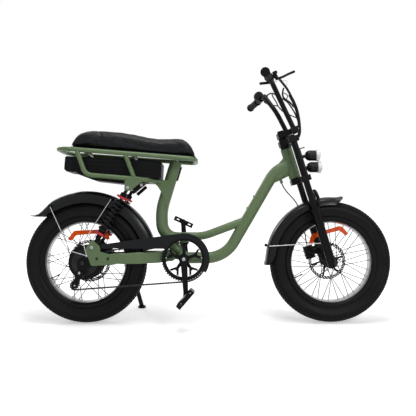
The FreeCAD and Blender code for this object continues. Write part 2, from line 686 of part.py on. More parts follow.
def guard(name, outer, depth, begin, finish, lips):
    body = revolve(name + "Arch", guard_section(outer, depth), finish - begin)
    body.Placement = Placement(V(0, 0, 0), Rotation(Z, begin))
    return fuse(name, [body] + [lip("%sLip%d" % (name, i), outer, depth, steps) for i, steps in enumerate(lips)])


front_guard = guard("FrontGuard", size["frontGuardRadius"], 40.0, 84.0, 173.0, [
    [(84.0, 0, 1.0), (80.5, 3, 0.8), (77.5, 9, 0.5)],
    [(173.0, 0, 1.0), (178.0, 1.5, 0.8), (182.5, 8, 0.55)],
])
node("front_mudguard", front_guard, front_place)
guard_tab = box("GuardTab", (28.2, 12, 24), V(size["frontGuardRadius"] + 0.3, -6, -12))
node("mudguard_bracket", guard_tab, front_place * Placement(V(0, 0, 0), Rotation(Z, 103.4)) * guard_tab.Placement)

# Main frame in the side view. Points are (X, Z) from the crank axle or the steering axis.
def from_bracket(dx, dz, y=0.0):
    return V(bracket.x + dx, y, bracket.z + dz)


def on_steering(height):
    return steer_base + steer_up * height


head_mid = on_steering(size["headTubeBase"] + 0.5 * size["headTubeLength"])
head_tube = cylinder("HeadTube", "headTubeRadius", "headTubeLength",
                     on_steering(size["headTubeBase"]), steer_up)
# The main tube's lower and upper bends, and the way from one to the other.
low_bend = from_bracket(191, 0)
high_bend = head_mid + V(-73.8, 0, -35.6)
climb = (high_bend - low_bend).normalize()
main_tube = tube("MainTube", [
    from_bracket(0, 0),
    low_bend,
    high_bend,
    head_mid + V(-2, 0, -4),
], "mainTubeRadius", {1: 150.0, 2: 130.0})
# The tube deepens into the head tube.
flare = doc.addObject("Part::Loft", "HeadFlare")
throat = doc.addObject("Part::Circle", "FlareThroat")
bind(throat, Radius="mainTubeRadius - 6")
throat_at = high_bend - climb * 55.5
throat.Placement = Placement(throat_at, Rotation(Z, V(0.60, 0, 0.80)))
mouth = doc.addObject("Part::Ellipse", "FlareMouth")
bind(mouth, MajorRadius="headTubeLength * 0.34", MinorRadius="headTubeRadius - 3.5")
mouth.Placement = Placement(head_mid + V(-6, 0, -4), Rotation(Z, V(1, 0, 0.30)) * Rotation(Z, 0))
flare.Sections = [throat, mouth]
flare.Solid = True

# Seat tube: leans forward to the rails, stands up straight, then bends into the upper branch.
rail_tilt = Rotation(Y, size["railSlope"])
RACK = Placement(from_bracket(size["railFrontRun"], size["railFrontRise"]), rail_tilt)


def on_rack(ahead, up, y=0.0):
    return RACK.multVec(V(ahead, y, up))


seat_top = on_rack(-98.0, -8.0)
seat_tube = tube("SeatTube", [
    seat_top,
    from_bracket(-110, 225),
    from_bracket(-103, 88),
    from_bracket(-28, 94),
], "seatTubeRadius", {1: 260.0, 2: 78.0})
branch_cone = doc.addObject("Part::Cone", "BranchTaper")
bind(branch_cone, Radius1="seatTubeRadius - 0.4", Radius2="branchRadius + 0.4")
taper_start = from_bracket(-34, 93.5)
taper_end = from_bracket(62, 102)
branch_cone.Height = (taper_end - taper_start).Length
branch_cone.Placement = Placement(taper_start, Rotation(Z, taper_end - taper_start))
branch = tube("UpperBranch", [
    taper_end - (taper_end - taper_start).normalize() * 12,
    from_bracket(100, 106),
    low_bend + climb * 207.7,
], "branchRadius", {1: 200.0})
brace = rod("BracketBrace", "seatTubeRadius - 2", from_bracket(-86, 90), from_bracket(0, 0))
shell = cylinder("BracketShell", "bracketRadius", "bracketWidth",
                 from_bracket(0, 0, -size["bracketWidth"] / 2), Y)
pivot = from_bracket(-62, 12)
pivot_lug = cylinder("PivotLug", "19", "58", pivot - Y * 29, Y)
pivot_web = rod("PivotWeb", "15", pivot, from_bracket(0, 0))
fairing = slab("SeatGusset", [(-172, 366), (-170, 355), (-150, 354), (-138, 349), (-125, 336), (-112, 316),
                              (-98, 285), (-88, 241), (-83, 241), (-63, 318), (-51, 358), (-50, 366)],
               "seatTubeRadius * 2 + 1.6")
fairing.Placement = side(bracket.x, 0, bracket.z)
bosses = []
boss_axis = V(-climb.z, 0, climb.x)
for i, along in enumerate((0.0, 64.0)):
    spot = low_bend + climb * (258.0 + along)
    bosses.append((spot, boss_axis))
lugs = [cylinder("BottleBoss%d" % i, "5.5", "mainTubeRadius + 2", spot, axis)
        for i, (spot, axis) in enumerate(bosses)]
welded = fuse("WeldedFrame", [head_tube, main_tube, flare, seat_tube, branch_cone, branch, brace,
                              shell, pivot_lug, pivot_web, fairing] + lugs)
bores = [
    cylinder("SteererBore", "steererRadius + runningFit", "headTubeLength + 20",
             on_steering(size["headTubeBase"] - 10), steer_up),
    cylinder("BracketBore", "spindleRadius + runningFit", "bracketWidth + 20",
             from_bracket(0, 0, -size["bracketWidth"] / 2 - 10), Y),
    cylinder("PivotBore", "7.1", "80", pivot - Y * 40, Y),
]
for i, (spot, axis) in enumerate(bosses):
    bores.append(cylinder("BossThread%d" % i, "2.1", "18", spot + axis * (size["mainTubeRadius"] - 14), axis))
node("main_frame", cut("MainFrame", welded, fuse("FrameBores", bores)))

# The hose leaves the main tube through a short port; a trim strip covers the seat tube's front.
port_mouth = head_mid + V(-39.8, 0, -93.6)
port = rod("CablePortTube", "7", head_mid + V(-56.8, 0, -49.6), port_mouth)
port_hole = rod("CablePortHole", "3.2", head_mid + V(-49.5, 0, -68.6), port_mouth + V(1, 0, -2.6))
port_room = tube("MainTubeRoom", [
    low_bend,
    high_bend,
    head_mid + V(-2, 0, -4),
], "mainTubeRadius + 0.2", {1: 130.0})
node("cable_port", cut("CablePort", port, fuse("PortRoom", [port_hole, port_room, flare])))

# Seat rails: a closed top hoop, lower rails and struts, in the rack frame.
front_y = size["railFrontSpread"]
rear_y = size["railRearSpread"]
rail_length = size["railLength"]
# The hoop starts and ends on one straight side, so it is closed by its two halves.
half_hoop = [V(-0.45 * rail_length, -0.55 * rear_y - 0.45 * front_y, 0), V(-6, -front_y, 0),
             V(-6, front_y, 0), V(-0.45 * rail_length, 0.55 * rear_y + 0.45 * front_y, 0)]
rear_hoop = [V(-0.44 * rail_length, 0.44 * rear_y + 0.56 * front_y, 0), V(-rail_length, rear_y, 0),
             V(-rail_length, -rear_y, 0), V(-0.44 * rail_length, -0.44 * rear_y - 0.56 * front_y, 0)]
rails = [tube("FrontHoop", half_hoop, "railRadius", {1: 42.0, 2: 42.0}),
         tube("RearHoop", rear_hoop, "railRadius", {1: 62.0, 2: 62.0})]


def rail_y(ahead):
    share = -ahead / rail_length
    return front_y + share * (rear_y - front_y)


low = -111.0


def lower_y(ahead):
    # inner face of the lower rails, less a little play
    if ahead < -390:
        centre = rail_y(ahead) - 2
    else:
        centre = rail_y(-390) - 2 + (ahead + 390) / 152.0 * (80.0 - rail_y(-390) + 2)
    return centre - size["railRadius"] - 0.5


for s, tag in ((1, "Left"), (-1, "Right")):
    rails.append(tube("LowerRail" + tag, [
        V(-548, s * rail_y(-548), -2),
        V(-500, s * (rail_y(-500) - 2), low),
        V(-390, s * (rail_y(-390) - 2), low),
        V(-238, s * 80.0, low),
        V(-152, s * 20.0, low),
    ], "railRadius", {1: 45.0, 2: 300.0, 3: 60.0}))
    rails.append(rod("MiddleStrut" + tag, "railRadius", V(-329, s * rail_y(-329), 0),
                     V(-279, s * (rail_y(-279) - 14.0), low)))
for i, ahead in enumerate((-98.0, -300.0, -520.0)):
    rails.append(rod("CrossTube%d" % i, "railRadius - 2", V(ahead, -rail_y(ahead), 0), V(ahead, rail_y(ahead), 0)))
for s, tag in ((1, "Left"), (-1, "Right")):
    plate = slab("ShockPlate" + tag, [(-320, low + 4), (-238, low + 4), (-238, low - 6), (-284, -160),
                                      (-290, -168), (-314, -170), (-320, -163)], "5")
    plate.Placement = side(0, s * (size["shockSpread"] + 11.5), 0)
    rails.append(plate)
shock_top = (-305.0, -154.8)
rails.append(rod("ShockBar", "8", V(shock_top[0], -size["shockSpread"] - 9.2, shock_top[1]),
                 V(shock_top[0], size["shockSpread"] + 9.2, shock_top[1])))
sleeve = tube("SeatTubeSleeve", [
    seat_top + (seat_top - from_bracket(-110, 225)).normalize() * 0.2,
    from_bracket(-110, 225),
    from_bracket(-103, 88),
    from_bracket(-28, 94),
], "seatTubeRadius + 0.1", {1: 260.0, 2: 78.0})
rack_raw = fuse("RackTubes", rails)
rack_raw.Placement = RACK
strip = rod("TrimStrip", "6", from_bracket(-37.6, 365), from_bracket(-17.3, 432))
node("seat_tube_strip", cut("SeatTubeStrip", strip, fuse("StripRoom", [sleeve, fairing])))
node("seat_rails", cut("SeatRails", rack_raw, fuse("FrameClearance", [sleeve, fairing])))

# Seat pan and cushion, battery and its tray, drawn in the rack's side view.
rack_side = RACK.multiply(side())
pan = slab("SeatPan", [(-584, 10.8), (-6, 10.8), (-10, 16.0), (-580, 16.0)], "cushionHalfWidth * 2 - 24")
node("seat_pan", pan, rack_side)
cushion = slab("SeatCushion", [(-588, 16.3), (-584, 32), (-563, 80), (-548, 91), (-520, 96), (-363, 98),
                                    (-300, 93), (-234, 84), (-190, 81), (-110, 88), (-72, 91), (-48, 83),
                                    (-22, 52), (-6, 16.3)], "cushionHalfWidth * 2")
node("seat_cushion", cushion, rack_side)
case = slab("BatteryCase", [(-608, -90), (-608, -35), (-602, -29), (-168, -20), (-161, -26), (-159, -92),
                            (-165, -99.8), (-560, -99.8), (-597, -99.8)], "batteryHalfWidth * 2")
node("battery_case", case, rack_side)
shelf = slab("TrayShelf", [(-478, -lower_y(-478)), (-392, -lower_y(-392)), (-300, -lower_y(-300)), (-270, -40),
                           (-270, 40), (-300, lower_y(-300)), (-392, lower_y(-392)), (-478, lower_y(-478))],
             "4", middle=False)
shelf.Placement = Placement(V(0, 0, -104), Rotation())
keel = slab("TrayKeel", [(-560, -104), (-467, -131), (-330, -136), (-325, -103)], "120")
keel.Placement = side()
node("battery_tray", fuse("BatteryTray", [shelf, keel]), RACK)

# Black braces beside the upper shock eyes.
brace_at = on_rack(shock_top[0], shock_top[1])
braces = [rod("ShockBrace" + tag, "8", brace_at + V(21, s * (size["shockSpread"] + 0.8), -24),
              brace_at + V(66, s * (size["shockSpread"] + 0.8), 15)) for s, tag in ((1, "Left"), (-1, "Right"))]
node("shock_brace", fuse("ShockBraces", braces))

# Swingarm: two flaring legs from the pivot to the dropout plates, with a bridge ahead of the tyre.
stay_y = size["staySpread"]
half_leg = size["stayThickness"] / 2
STAY = [
    # X and Z from the crank axle, leg centre from the middle plane, half height, half thickness
    (-62.0, 12.0, 43.0, 24.0, 11.0),
    (-121.0, 6.0, 46.0, 26.0, 11.0),
    (-216.0, 4.0, stay_y - 8.0, 26.0, half_leg),
    (120.0 - size["bracketRun"], 0.5, stay_y, size["stayHeight"] / 2, half_leg),
]
stay_parts = []
for s, tag in ((1, "Left"), (-1, "Right")):
    sections = []
    for dx, dz, y, tall, thick in STAY:
        c = 0.3 * thick
        ring = [(-thick, -tall + c), (-thick + c, -tall), (thick - c, -tall), (thick, -tall + c),
                (thick, tall - c), (thick - c, tall), (-thick + c, tall), (-thick, tall - c)]
        corners = [from_bracket(dx, dz + v, s * y + u) for u, v in ring]
        sections.append(Part.makePolygon(corners + corners[:1]))
    stay_parts.append(solid("StayLeg" + tag, Part.makeLoft(sections, True, True)))
    stay_parts.append(cylinder("PivotRing" + tag, "24", "24", pivot + Y * s * 31, Y * s))
    plate = slab("Dropout" + tag, [(43, 104), (21, 80), (12, 57), (24, 30), (39, -10), (52, -12),
                                   (121, -8), (150, -6), (150, 28), (119, 41), (80, 52), (77, 76), (60, 94)],
                 "dropoutThickness")
    plate.Placement = side(rear_axle.x, s * (size["dropoutSpacing"] + size["dropoutThickness"]) / 2, rear_axle.z)
    stay_parts.append(plate)
bridge_reach = size["guardRadius"] + 18.3
bridge_at = rear_axle + V(math.cos(math.radians(6)), 0, math.sin(math.radians(6))) * bridge_reach
stay_parts.append(cylinder("SwingarmBridge", "14", "112", bridge_at - Y * 56, Y))
stay_parts.append(cylinder("PivotBolt", "7", "116", pivot - Y * 58, Y))
eye_at = rear_axle + V(42, 0, 72)
eye_y = size["shockSpread"]
for s, tag in ((1, "Left"), (-1, "Right")):
    stay_parts.append(cylinder("ShockBolt" + tag, "6", "28", eye_at + Y * s * (eye_y - 9), Y * s))
# a threaded eyelet for a rack stay in each dropout plate
eyelet = V(96, 0, 4)
eyelets = [cylinder("Eyelet" + tag, "2.1", "30", rear_axle + eyelet + Y * s * 84, Y * s)
           for s, tag in ((1, "Left"), (-1, "Right"))]
node("swingarm", cut("SwingarmCut", fuse("Swingarm", stay_parts), fuse("Eyelets", eyelets)))
bolts = []
for s, tag in ((1, "Left"), (-1, "Right")):
    face = rear_axle + Y * s * (size["dropoutSpacing"] / 2 + size["dropoutThickness"])
    for i, (ahead, up) in enumerate(((66, 21), (116, 21))):
        bolts.append(cylinder("DropoutBolt%s%d" % (tag, i), "6", "5", face + V(ahead, s * 0.1, up), Y * s))
node("dropout_bolts", fuse("DropoutBolts", bolts))
insert_parts = []
for s, tag in ((1, "Left"), (-1, "Right")):
    points = [(-25, 20), (15, 33), (39, 15), (45, -13), (15, -23), (-15, -23), (-27, -10)]
    if s < 0:
        points = points[:4] + [(20, -26), (-2, -46), (-22, -46), (-27, -10)]
    plate = slab("AxlePlate" + tag, points, "axlePlate")
    plate.Placement = side(rear_axle.x, s * (size["dropoutSpacing"] - size["axlePlate"]) / 2, rear_axle.z)
    insert_parts.append(plate)
insert_bore = cylinder("AxlePlateBore", "axleRadius + 0.05", "300", rear_axle - Y * 150, Y)
node("rear_axle_plates", cut("AxlePlates", fuse("AxlePlatePair", insert_parts), insert_bore))

# Rear shocks, each drawn from its lower eye upwards.
eye_top = on_rack(shock_top[0], shock_top[1])
dampers = []
springs = []
collars = []
wire = 2 * size["springWire"]
outer = size["springRadius"]
for s, tag in ((1, "Left"), (-1, "Right")):
    low_eye = eye_at + Y * s * eye_y
    high_eye = eye_top + Y * s * eye_y
    span = (high_eye - low_eye).Length
    lie = Placement(low_eye, Rotation(Z, high_eye - low_eye))
    body = revolve("Damper" + tag, [(0, 8), (8.2, 8), (8.2, 42), (12.5, 46), (12.5, 62), (16, 66), (16, 110), (14, 114),
                                    (14, 190), (7, 192), (7, span - 60), (16, span - 56), (16, span - 32),
                                    (8.2, span - 28), (8.2, span - 8), (0, span - 8)])
    body.Placement = lie
    eyes = [cylinder("LowEye" + tag, "12", "15", low_eye - Y * 7.5, Y),
            cylinder("HighEye" + tag, "12", "15", high_eye - Y * 7.5, Y)]
    dampers.append(cut("Shock" + tag, fuse("ShockSolid" + tag, [body] + eyes),
                       fuse("ShockEyeBores" + tag, [
                           cylinder("LowEyeBore" + tag, "6.05", "40", low_eye - Y * 20, Y),
                           cylinder("HighEyeBore" + tag, "8.05", "40", high_eye - Y * 20, Y)])))
    low_seat = 78.0
    high_seat = span - 58.0
    turns = 9
    pitch = (high_seat - low_seat) / turns
    coil = [(outer - 1.2 * wire, low_seat)]
    for i in range(turns):
        coil += [(outer, low_seat + pitch * (i + 0.25)), (outer, low_seat + pitch * (i + 0.6)),
                 (outer - 0.75 * wire, low_seat + pitch * (i + 0.93))]
    coil.append((outer - 1.2 * wire, high_seat))
    spring = revolve("Spring" + tag, coil)
    spring.Placement = lie
    springs.append(spring)
    for level, at in (("Low", low_seat - 10.3), ("High", high_seat + 0.3)):
        collar = revolve("Collar" + level + tag, [(16.1, at), (outer + 1, at), (outer + 1, at + 10), (16.1, at + 10)])
        collar.Placement = lie
        collars.append(collar)
node("rear_shock_dampers", fuse("ShockDampers", dampers))
node("rear_shock_springs", fuse("ShockSprings", springs))
node("rear_shock_collars", fuse("ShockCollars", collars))

# Rear mudguard with its wires.
rear_guard = guard("RearGuard", size["guardRadius"], 58.0, 11.0, 134.0, [
    [(134.0, 0, 1.0), (137.0, 1, 0.8), (139.2, 3, 0.55)],
])
node("rear_mudguard", rear_guard, rear_place)
rear_wires = []
for s, tag in ((1, "Left"), (-1, "Right")):
    lug = rear_axle + V(20, s * (size["dropoutSpacing"] / 2 + size["dropoutThickness"] + 2.5), 34)
    tip = size["guardRadius"] - 54.0
    top = rear_axle + V(tip * math.cos(math.radians(121)), s * (size["guardHalfWidth"] + 2.4),
                        tip * math.sin(math.radians(121)))
    front = rear_axle + V(tip * math.cos(math.radians(66)), s * (size["guardHalfWidth"] + 2.4),
                          tip * math.sin(math.radians(66)))
    knee = rear_axle + V(-8, s * 100, 90)
    rear_wires.append(rod("RearStayBack" + tag, "2.2", lug, top))
    rear_wires.append(tube("RearStayFront" + tag, [lug, knee, front], "2.2", {1: 40.0}))
    rear_wires.append(cylinder("RearStayEye" + tag, "6", "4.6", lug - Y * s * 2.3, Y * s))
node("rear_mudguard_stays", fuse("RearStays", rear_wires))

# Drive side: chain as one closed loop over ring, cog and the two jockey wheels.
jockeys = [(rear_axle.x - 23.0, rear_axle.z - 54.0, 18.0), (rear_axle.x - 39.0, rear_axle.z - 103.0, 20.0)]
LOOP = [
    # X, Z, pitch radius, side of the chain that the wheel is on
    (bracket.x, bracket.z, size["ringRadius"], 1),
    (rear_axle.x, rear_axle.z, size["cogRadius"], 1),
    (jockeys[0][0], jockeys[0][1], jockeys[0][2], -1),
    (jockeys[1][0], jockeys[1][1], jockeys[1][2], 1),
]


def belt(loop, offset):
    # closed wire in local XY: arcs on the wheels joined by their common tangents
    joints = []
    count = len(loop)
    for i in range(count):
        x1, z1, r1, s1 = loop[i]
        x2, z2, r2, s2 = loop[(i + 1) % count]
        r1 = (r1 + s1 * offset) * s1
        r2 = (r2 + s2 * offset) * s2
        d = math.hypot(x2 - x1, z2 - z1)
        heading = math.atan2(z2 - z1, x2 - x1)
        normal = heading - math.acos((r1 - r2) / d)
        n = V(math.cos(normal), math.sin(normal), 0)
        joints.append((V(x1, z1, 0) + n * r1, V(x2, z2, 0) + n * r2))
    edges = []
    for i in range(count):
        edges.append(Part.LineSegment(joints[i][0], joints[i][1]).toShape())
        x, z, r, s = loop[(i + 1) % count]
        centre = V(x, z, 0)
        a = joints[i][1] - centre
        b = joints[(i + 1) % count][0] - centre
        start = math.atan2(a.y, a.x)
        stop = math.atan2(b.y, b.x)
        sweep = (stop - start) % (2 * math.pi) if s > 0 else -((start - stop) % (2 * math.pi))
        middle = start + sweep / 2
        radius = a.Length
        edges.append(Part.Arc(joints[i][1], centre + V(math.cos(middle), math.sin(middle), 0) * radius,
                              joints[(i + 1) % count][0]).toShape())
    return Part.Wire(edges)


chain_half = size["chainHeight"] / 2
outline = Part.Face(belt(LOOP, chain_half))
hollow = Part.Face(belt(LOOP, -chain_half))
loop_solid = outline.cut(hollow).extrude(V(0, 0, size["chainWidth"]))
chain = solid("Chain", loop_solid)
node("chain", chain, side(0, -size["chainLine"] + size["chainWidth"] / 2, 0))

# Chainring, cranks and pedals. Local Z of each points to the right of the bike.
ring_tip = size["ringRadius"] - chain_half - 0.6
ring_place = side(bracket.x, 0, bracket.z)
ring_band = cut("RingBand", cylinder("RingOutside", "ringRadius - chainHeight / 2 - 0.6", "4", V(0, 0, size["chainLine"] - 2)),
                cylinder("RingWindow", "ringRadius - 22", "4", V(0, 0, size["chainLine"] - 2)))
spider = [cylinder("SpiderBoss", "24", "8", V(0, 0, size["chainLine"] - 2))]
for i in range(5):
    arm = slab("SpiderArm%d" % i, [(14, -9), (50, -7), (76, -25), (85, -20), (64, -4), (64, 4), (85, 20), (76, 25),
                                   (50, 7), (14, 9)], "4", middle=False)
    arm.Placement = Placement(V(0, 0, size["chainLine"] - 2), Rotation(Z, 72 * i + 90))
    spider.append(arm)
spider_bore = cylinder("SpiderBore", "spindleRadius + 0.05", "30", V(0, 0, size["chainLine"] - 10))
node("chainring", cut("Chainring", fuse("RingAndSpider", [ring_band] + spider), spider_bore), ring_place)

lead = math.radians(size["crankAngle"])
arm_way = V(math.sin(lead), -math.cos(lead), 0)
reach = size["crankLength"]
arms = [cylinder("CrankSpindle", "spindleRadius", "2 * crankSpread", V(0, 0, -size["crankSpread"]))]
pedal_ends = {}
for s, tag in ((1, "Right"), (-1, "Left")):
    end = arm_way * reach * s
    level = s * size["crankSpread"]
    across = V(-arm_way.y, arm_way.x, 0)
    ring = []
    for along, half_wide in ((-17, 9), (0, 17), (22, 15), (reach - 20, 11), (reach, 13), (reach + 13, 7)):
        ring.append((along, half_wide))
    corners = [arm_way * s * a + across * w for a, w in ring] + [arm_way * s * a - across * w for a, w in reversed(ring)]
    arm = slab("CrankArm" + tag, [(c.x, c.y) for c in corners], "14")
    arm.Placement = Placement(V(0, 0, level), Rotation())
    arms.append(arm)
    arms.append(cylinder("PedalSpindle" + tag, "7", "pedalSpread - crankSpread + pedalWidth / 2 - 8",
                         end + Z * level, Z * s))
    pedal_ends[tag] = (bracket.x + end.x, bracket.z + end.y)
arms.append(cylinder("CrankCollarRight", "16", "7", V(0, 0, size["chainLine"] + 6.2)))
node("crank_arms", fuse("CrankArms", arms), ring_place)


def pedal(tag, s, tilt):
    # an open cage around the spindle barrel, slotted at both ends
    long_side = size["pedalLength"]
    wide = size["pedalWidth"]
    frame_box = box("PedalBlock" + tag, (long_side, 22.0, wide), V(-long_side / 2, -11, -wide / 2))
    holes = []
    for i, x in enumerate((-long_side / 2 + 8, 16.0)):
        holes.append(box("PedalWindow%s%d" % (tag, i), (long_side / 2 - 24.0, 30.0, wide - 18.0),
                         V(x, -15, -wide / 2 + 9)))
        holes.append(box("PedalSlot%s%d" % (tag, i), (16.0, 7.0, wide + 4), V(-long_side / 2 + 10 if i == 0 else long_side / 2 - 26, -3.5, -wide / 2 - 2)))
    holes.append(cylinder("PedalBore" + tag, "7 + runningFit", "pedalWidth - 7", V(0, 0, -wide / 2 if s > 0 else wide / 2), Z * s))
    x, z = pedal_ends[tag]
    body = cut("Pedal" + tag, frame_box, fuse("PedalHoles" + tag, holes))
    place = side(x, -s * size["pedalSpread"], z).multiply(Placement(V(0, 0, 0), Rotation(Z, tilt)))
    node("pedal_" + tag.lower(), body, place)


pedal("Right", 1, 49.0)
pedal("Left", -1, -25.0)

# Chain guard: a plate over the upper run that turns round the front of the ring.
outside = size["ringRadius"] + 13.0
inside = size["ringRadius"] - 12.0
tip_angle = math.radians(-32)
top_angle = math.radians(97)


def polar(radius, angle):
    return V(radius * math.cos(angle), radius * math.sin(angle), 0)


tail = (-394.0, 65.0, 49.0)
guard_edges = [
    Part.LineSegment(V(tail[0], tail[2], 0), V(tail[0], tail[1], 0)).toShape(),
    Part.LineSegment(V(tail[0], tail[1], 0), polar(outside, top_angle)).toShape(),
    Part.Arc(polar(outside, top_angle), polar(outside, 0.5 * (top_angle + tip_angle)), polar(outside, tip_angle)).toShape(),
    Part.LineSegment(polar(outside, tip_angle), polar(inside, tip_angle)).toShape(),
    Part.Arc(polar(inside, tip_angle), polar(inside, 0.5 * (math.radians(150) + tip_angle)), polar(inside, math.radians(150))).toShape(),
    Part.LineSegment(polar(inside, math.radians(150)), V(tail[0], tail[2], 0)).toShape(),
]
guard_face = Part.Face(Part.Wire(guard_edges))
guard_plate = guard_face.extrude(V(0, 0, 4))
post = Part.makeCylinder(5, size["dropoutSpacing"] / 2 - size["chainLine"] - 10.2,
                         V(tail[0] + 8, 0.5 * (tail[1] + tail[2]), 4))
chain_guard = solid("ChainGuard", guard_plate.fuse(post))
node("chain_guard", chain_guard, side(bracket.x, -(size["chainLine"] + 6.0), bracket.z))

# Derailleur: cage plates beside the chain, two jockey wheels and the body on its hanger.
mech = []
(jx1, jz1, jr1), (jx2, jz2, jr2) = jockeys
cage = [(jx1 - 13, jz1 - 4), (jx1 - 8, jz1 + 11), (jx1 + 8, jz1 + 12), (jx1 + 14, jz1), (jx2 + 15, jz2 - 3),
        (jx2 + 8, jz2 - 13), (jx2 - 6, jz2 - 14), (jx2 - 14, jz2)]
for name, at in (("Inner", size["chainLine"] - 7.5), ("Outer", size["chainLine"] + 5.0)):
    plate = slab("Cage" + name, cage, "2.5", middle=False)
    plate.Placement = Placement(V(0, 0, at), Rotation())
    mech.append(plate)
for i, (x, z, r) in enumerate(jockeys):
    mech.append(cylinder("Jockey%d" % i, "%s" % (r - chain_half - 0.6), "4", V(x, z, size["chainLine"] - 2)))
    mech.append(cylinder("JockeyPin%d" % i, "5", "15", V(x, z, size["chainLine"] - 7.5)))
hanger_face = size["dropoutSpacing"] / 2 + 0.2
mech_body = slab("MechBody", [(jx1 - 14, jz1 - 4), (jx1 - 2, jz1 + 19), (jx1 + 20, jz1 + 19), (jx1 + 36, jz1 + 2),
                              (jx1 + 24, jz1 - 14), (jx1, jz1 - 14)], "12", middle=False)
mech_body.Placement = Placement(V(0, 0, hanger_face), Rotation())
mech.append(mech_body)
mech.append(cylinder("MechKnuckle", "7.5", "%s" % (hanger_face - size["chainLine"] - 5.0),
                     V(jx1, jz1 - 1.0, size["chainLine"] + 6.0)))
node("rear_derailleur", fuse("Derailleur", mech), side())

# Side stand on the left swingarm leg: bracket with its pin, and the leg that folds back.
stand_pin = from_bracket(-286, -44, stay_y + 3.0)
stand_axis = V(0.178, 0.780, 0.571).normalize()
stand_block = box("StandBlock", (44, 18, 14), from_bracket(-308, -36.3, stay_y - half_leg))
stand_boss = cylinder("StandBoss", "13", "24.2", stand_pin - stand_axis * 4, stand_axis)
stand_shaft = cylinder("StandPin", "5", "49.5", stand_pin, stand_axis)
stand_head = cylinder("StandPinHead", "8", "3", stand_pin + stand_axis * 46.8, stand_axis)
node("stand_bracket", fuse("StandBracket", [stand_block, stand_boss, stand_shaft, stand_head]))
knuckle_at = stand_pin + stand_axis * 20.5
to_upright = LEAN.inverse()
ground_up = to_upright.Rotation.multVec(Z)
foot_ground = to_upright.multVec(V(bracket.x - 232.4, 157.5, 0.0))
leg_start = stand_pin + stand_axis * 33.5
knuckle = cylinder("StandKnuckle", "13", "26", knuckle_at, stand_axis)
stand_leg = rod("StandLeg", "standLegRadius", leg_start, foot_ground + ground_up * 7.0)
stand_foot = cylinder("StandFoot", "standFootRadius", "9", foot_ground, ground_up)
stand_bore = cylinder("StandBore", "5 + runningFit", "60", stand_pin - stand_axis * 5, stand_axis)
node("side_stand", cut("SideStand", fuse("StandSolid", [knuckle, stand_leg, stand_foot]), stand_bore))

# Front stays, caliper, headlight.
front_wires = []
for s, tag in ((1, "Left"), (-1, "Right")):
    hook = front_axle + V(-258.0, s * (size["guardHalfWidth"] + 2.8), 73.0)
    leg_end = front_axle + V(-57.0, s * (size["legSpread"] - 3.0), 90.0)
    front_wires.append(rod("FrontStay" + tag, "2.4", hook, leg_end))
    front_wires.append(cylinder("FrontStayClip" + tag, "8", "5", hook - Y * s * 2.5, Y * s))
leg_room = [cylinder("LegRoom" + tag, "lowerLegRadius + 0.3", "300", V(size["legOffset"], s * size["legSpread"], -20))
            for s, tag in ((1, "Left"), (-1, "Right"))]
leg_clearance = fuse("LegClearance", leg_room)
leg_clearance.Placement = STEER
node("front_mudguard_stays", cut("FrontStayCut", fuse("FrontStays", front_wires), leg_clearance))

caliper = box("CaliperBlock", (44, 30, 62), V(-52, size["frontDiscLine"] - 15.0, 34))
caliper_slot = box("CaliperSlot", (60, 8, 58), V(-50, size["frontDiscLine"] - 4.0, 26))
caliper_arm = box("CaliperArm", (30, 12, 40), V(-14, size["frontDiscLine"] + 5.0, 46))
caliper_leg_clear = cylinder("CaliperLegClear", "lowerLegRadius + 0.1", "200",
                             V(size["legOffset"], size["legSpread"], -20))
node("front_caliper", cut("FrontCaliper", fuse("CaliperSolid", [caliper, caliper_arm]),
                          fuse("CaliperCuts", [caliper_slot, caliper_leg_clear])), STEER)

hose = tube("FrontBrakeHose", [
    V(-66.5, 0, 420), V(-63, 4, 398), V(-48.7, 20, 367), V(-21.4, 50, 324), V(-12, 64, 286), V(-10, 66, 240),
    V(-14, 64, 190), V(-24, 60, 140), V(-30, 57, 97.0),
], "2.8")
node("front_brake_hose", hose, STEER)

rear_caliper = box("RearCaliperBlock", (50, 30, 40), V(rear_axle.x + 58, size["rearDiscLine"] - 15.0, rear_axle.z + 20))
rear_slot = cylinder("RearCaliperSlot", "rearDiscRadius + 3", "8",
                     V(rear_axle.x, size["rearDiscLine"] - 4.0, rear_axle.z), Y)
rear_arm = box("RearCaliperArm", (24, size["dropoutSpacing"] / 2 - size["rearDiscLine"] - 5.0 - 0.1, 16),
               V(rear_axle.x + 80, size["rearDiscLine"] + 5.0, rear_axle.z + 24))
node("rear_caliper", cut("RearCaliper", fuse("RearCaliperSolid", [rear_caliper, rear_arm]), rear_slot))

lamp_parts = []
lens_parts = []
lamp_r = size["lampRadius"]
plate_top = 556.0
bracket_plate = box("LampPlate", (5, 40, plate_top - lower_crown - 4), V(58, -20, lower_crown + 4))
bracket_foot = box("LampFoot", (33.8, 28, 16), V(30.2, -14, lower_crown + 4))
lamp_clip = box("LampClip", (30, 16, 4), V(58, -8, plate_top - 4))
lamp_parts = [bracket_plate, bracket_foot, lamp_clip]
level = V(math.cos(rake), 0, -math.sin(rake))
for i, (ahead, up) in enumerate(((80.6, 515.0), (72.2, 459.4))):
    back = V(ahead, 0, up)
    shell = revolve("LampShell%d" % i, [(0, 0), (14, 0), (lamp_r - 5, 8), (lamp_r - 2, 18), (lamp_r - 2, 50), (lamp_r, 52),
                                        (lamp_r, 64), (lamp_r - 3, 64), (lamp_r - 3, 58), (0, 58)])
    shell.Placement = Placement(back, Rotation(Z, level))
    lamp_parts.append(shell)
    lamp_parts.append(rod("LampStub%d" % i, "8", V(60, 0, up - 2), back + level * 6))
    lens = revolve("LampLens%d" % i, [(0, 58.2), (lamp_r - 3.3, 58.2), (lamp_r - 3.3, 64), (lamp_r - 8, 68), (0, 70)])
    lens.Placement = Placement(back, Rotation(Z, level))
    lens_parts.append(lens)
node("headlight", fuse("Headlight", lamp_parts), STEER)
node("headlight_lenses", fuse("HeadlightLenses", lens_parts), STEER)

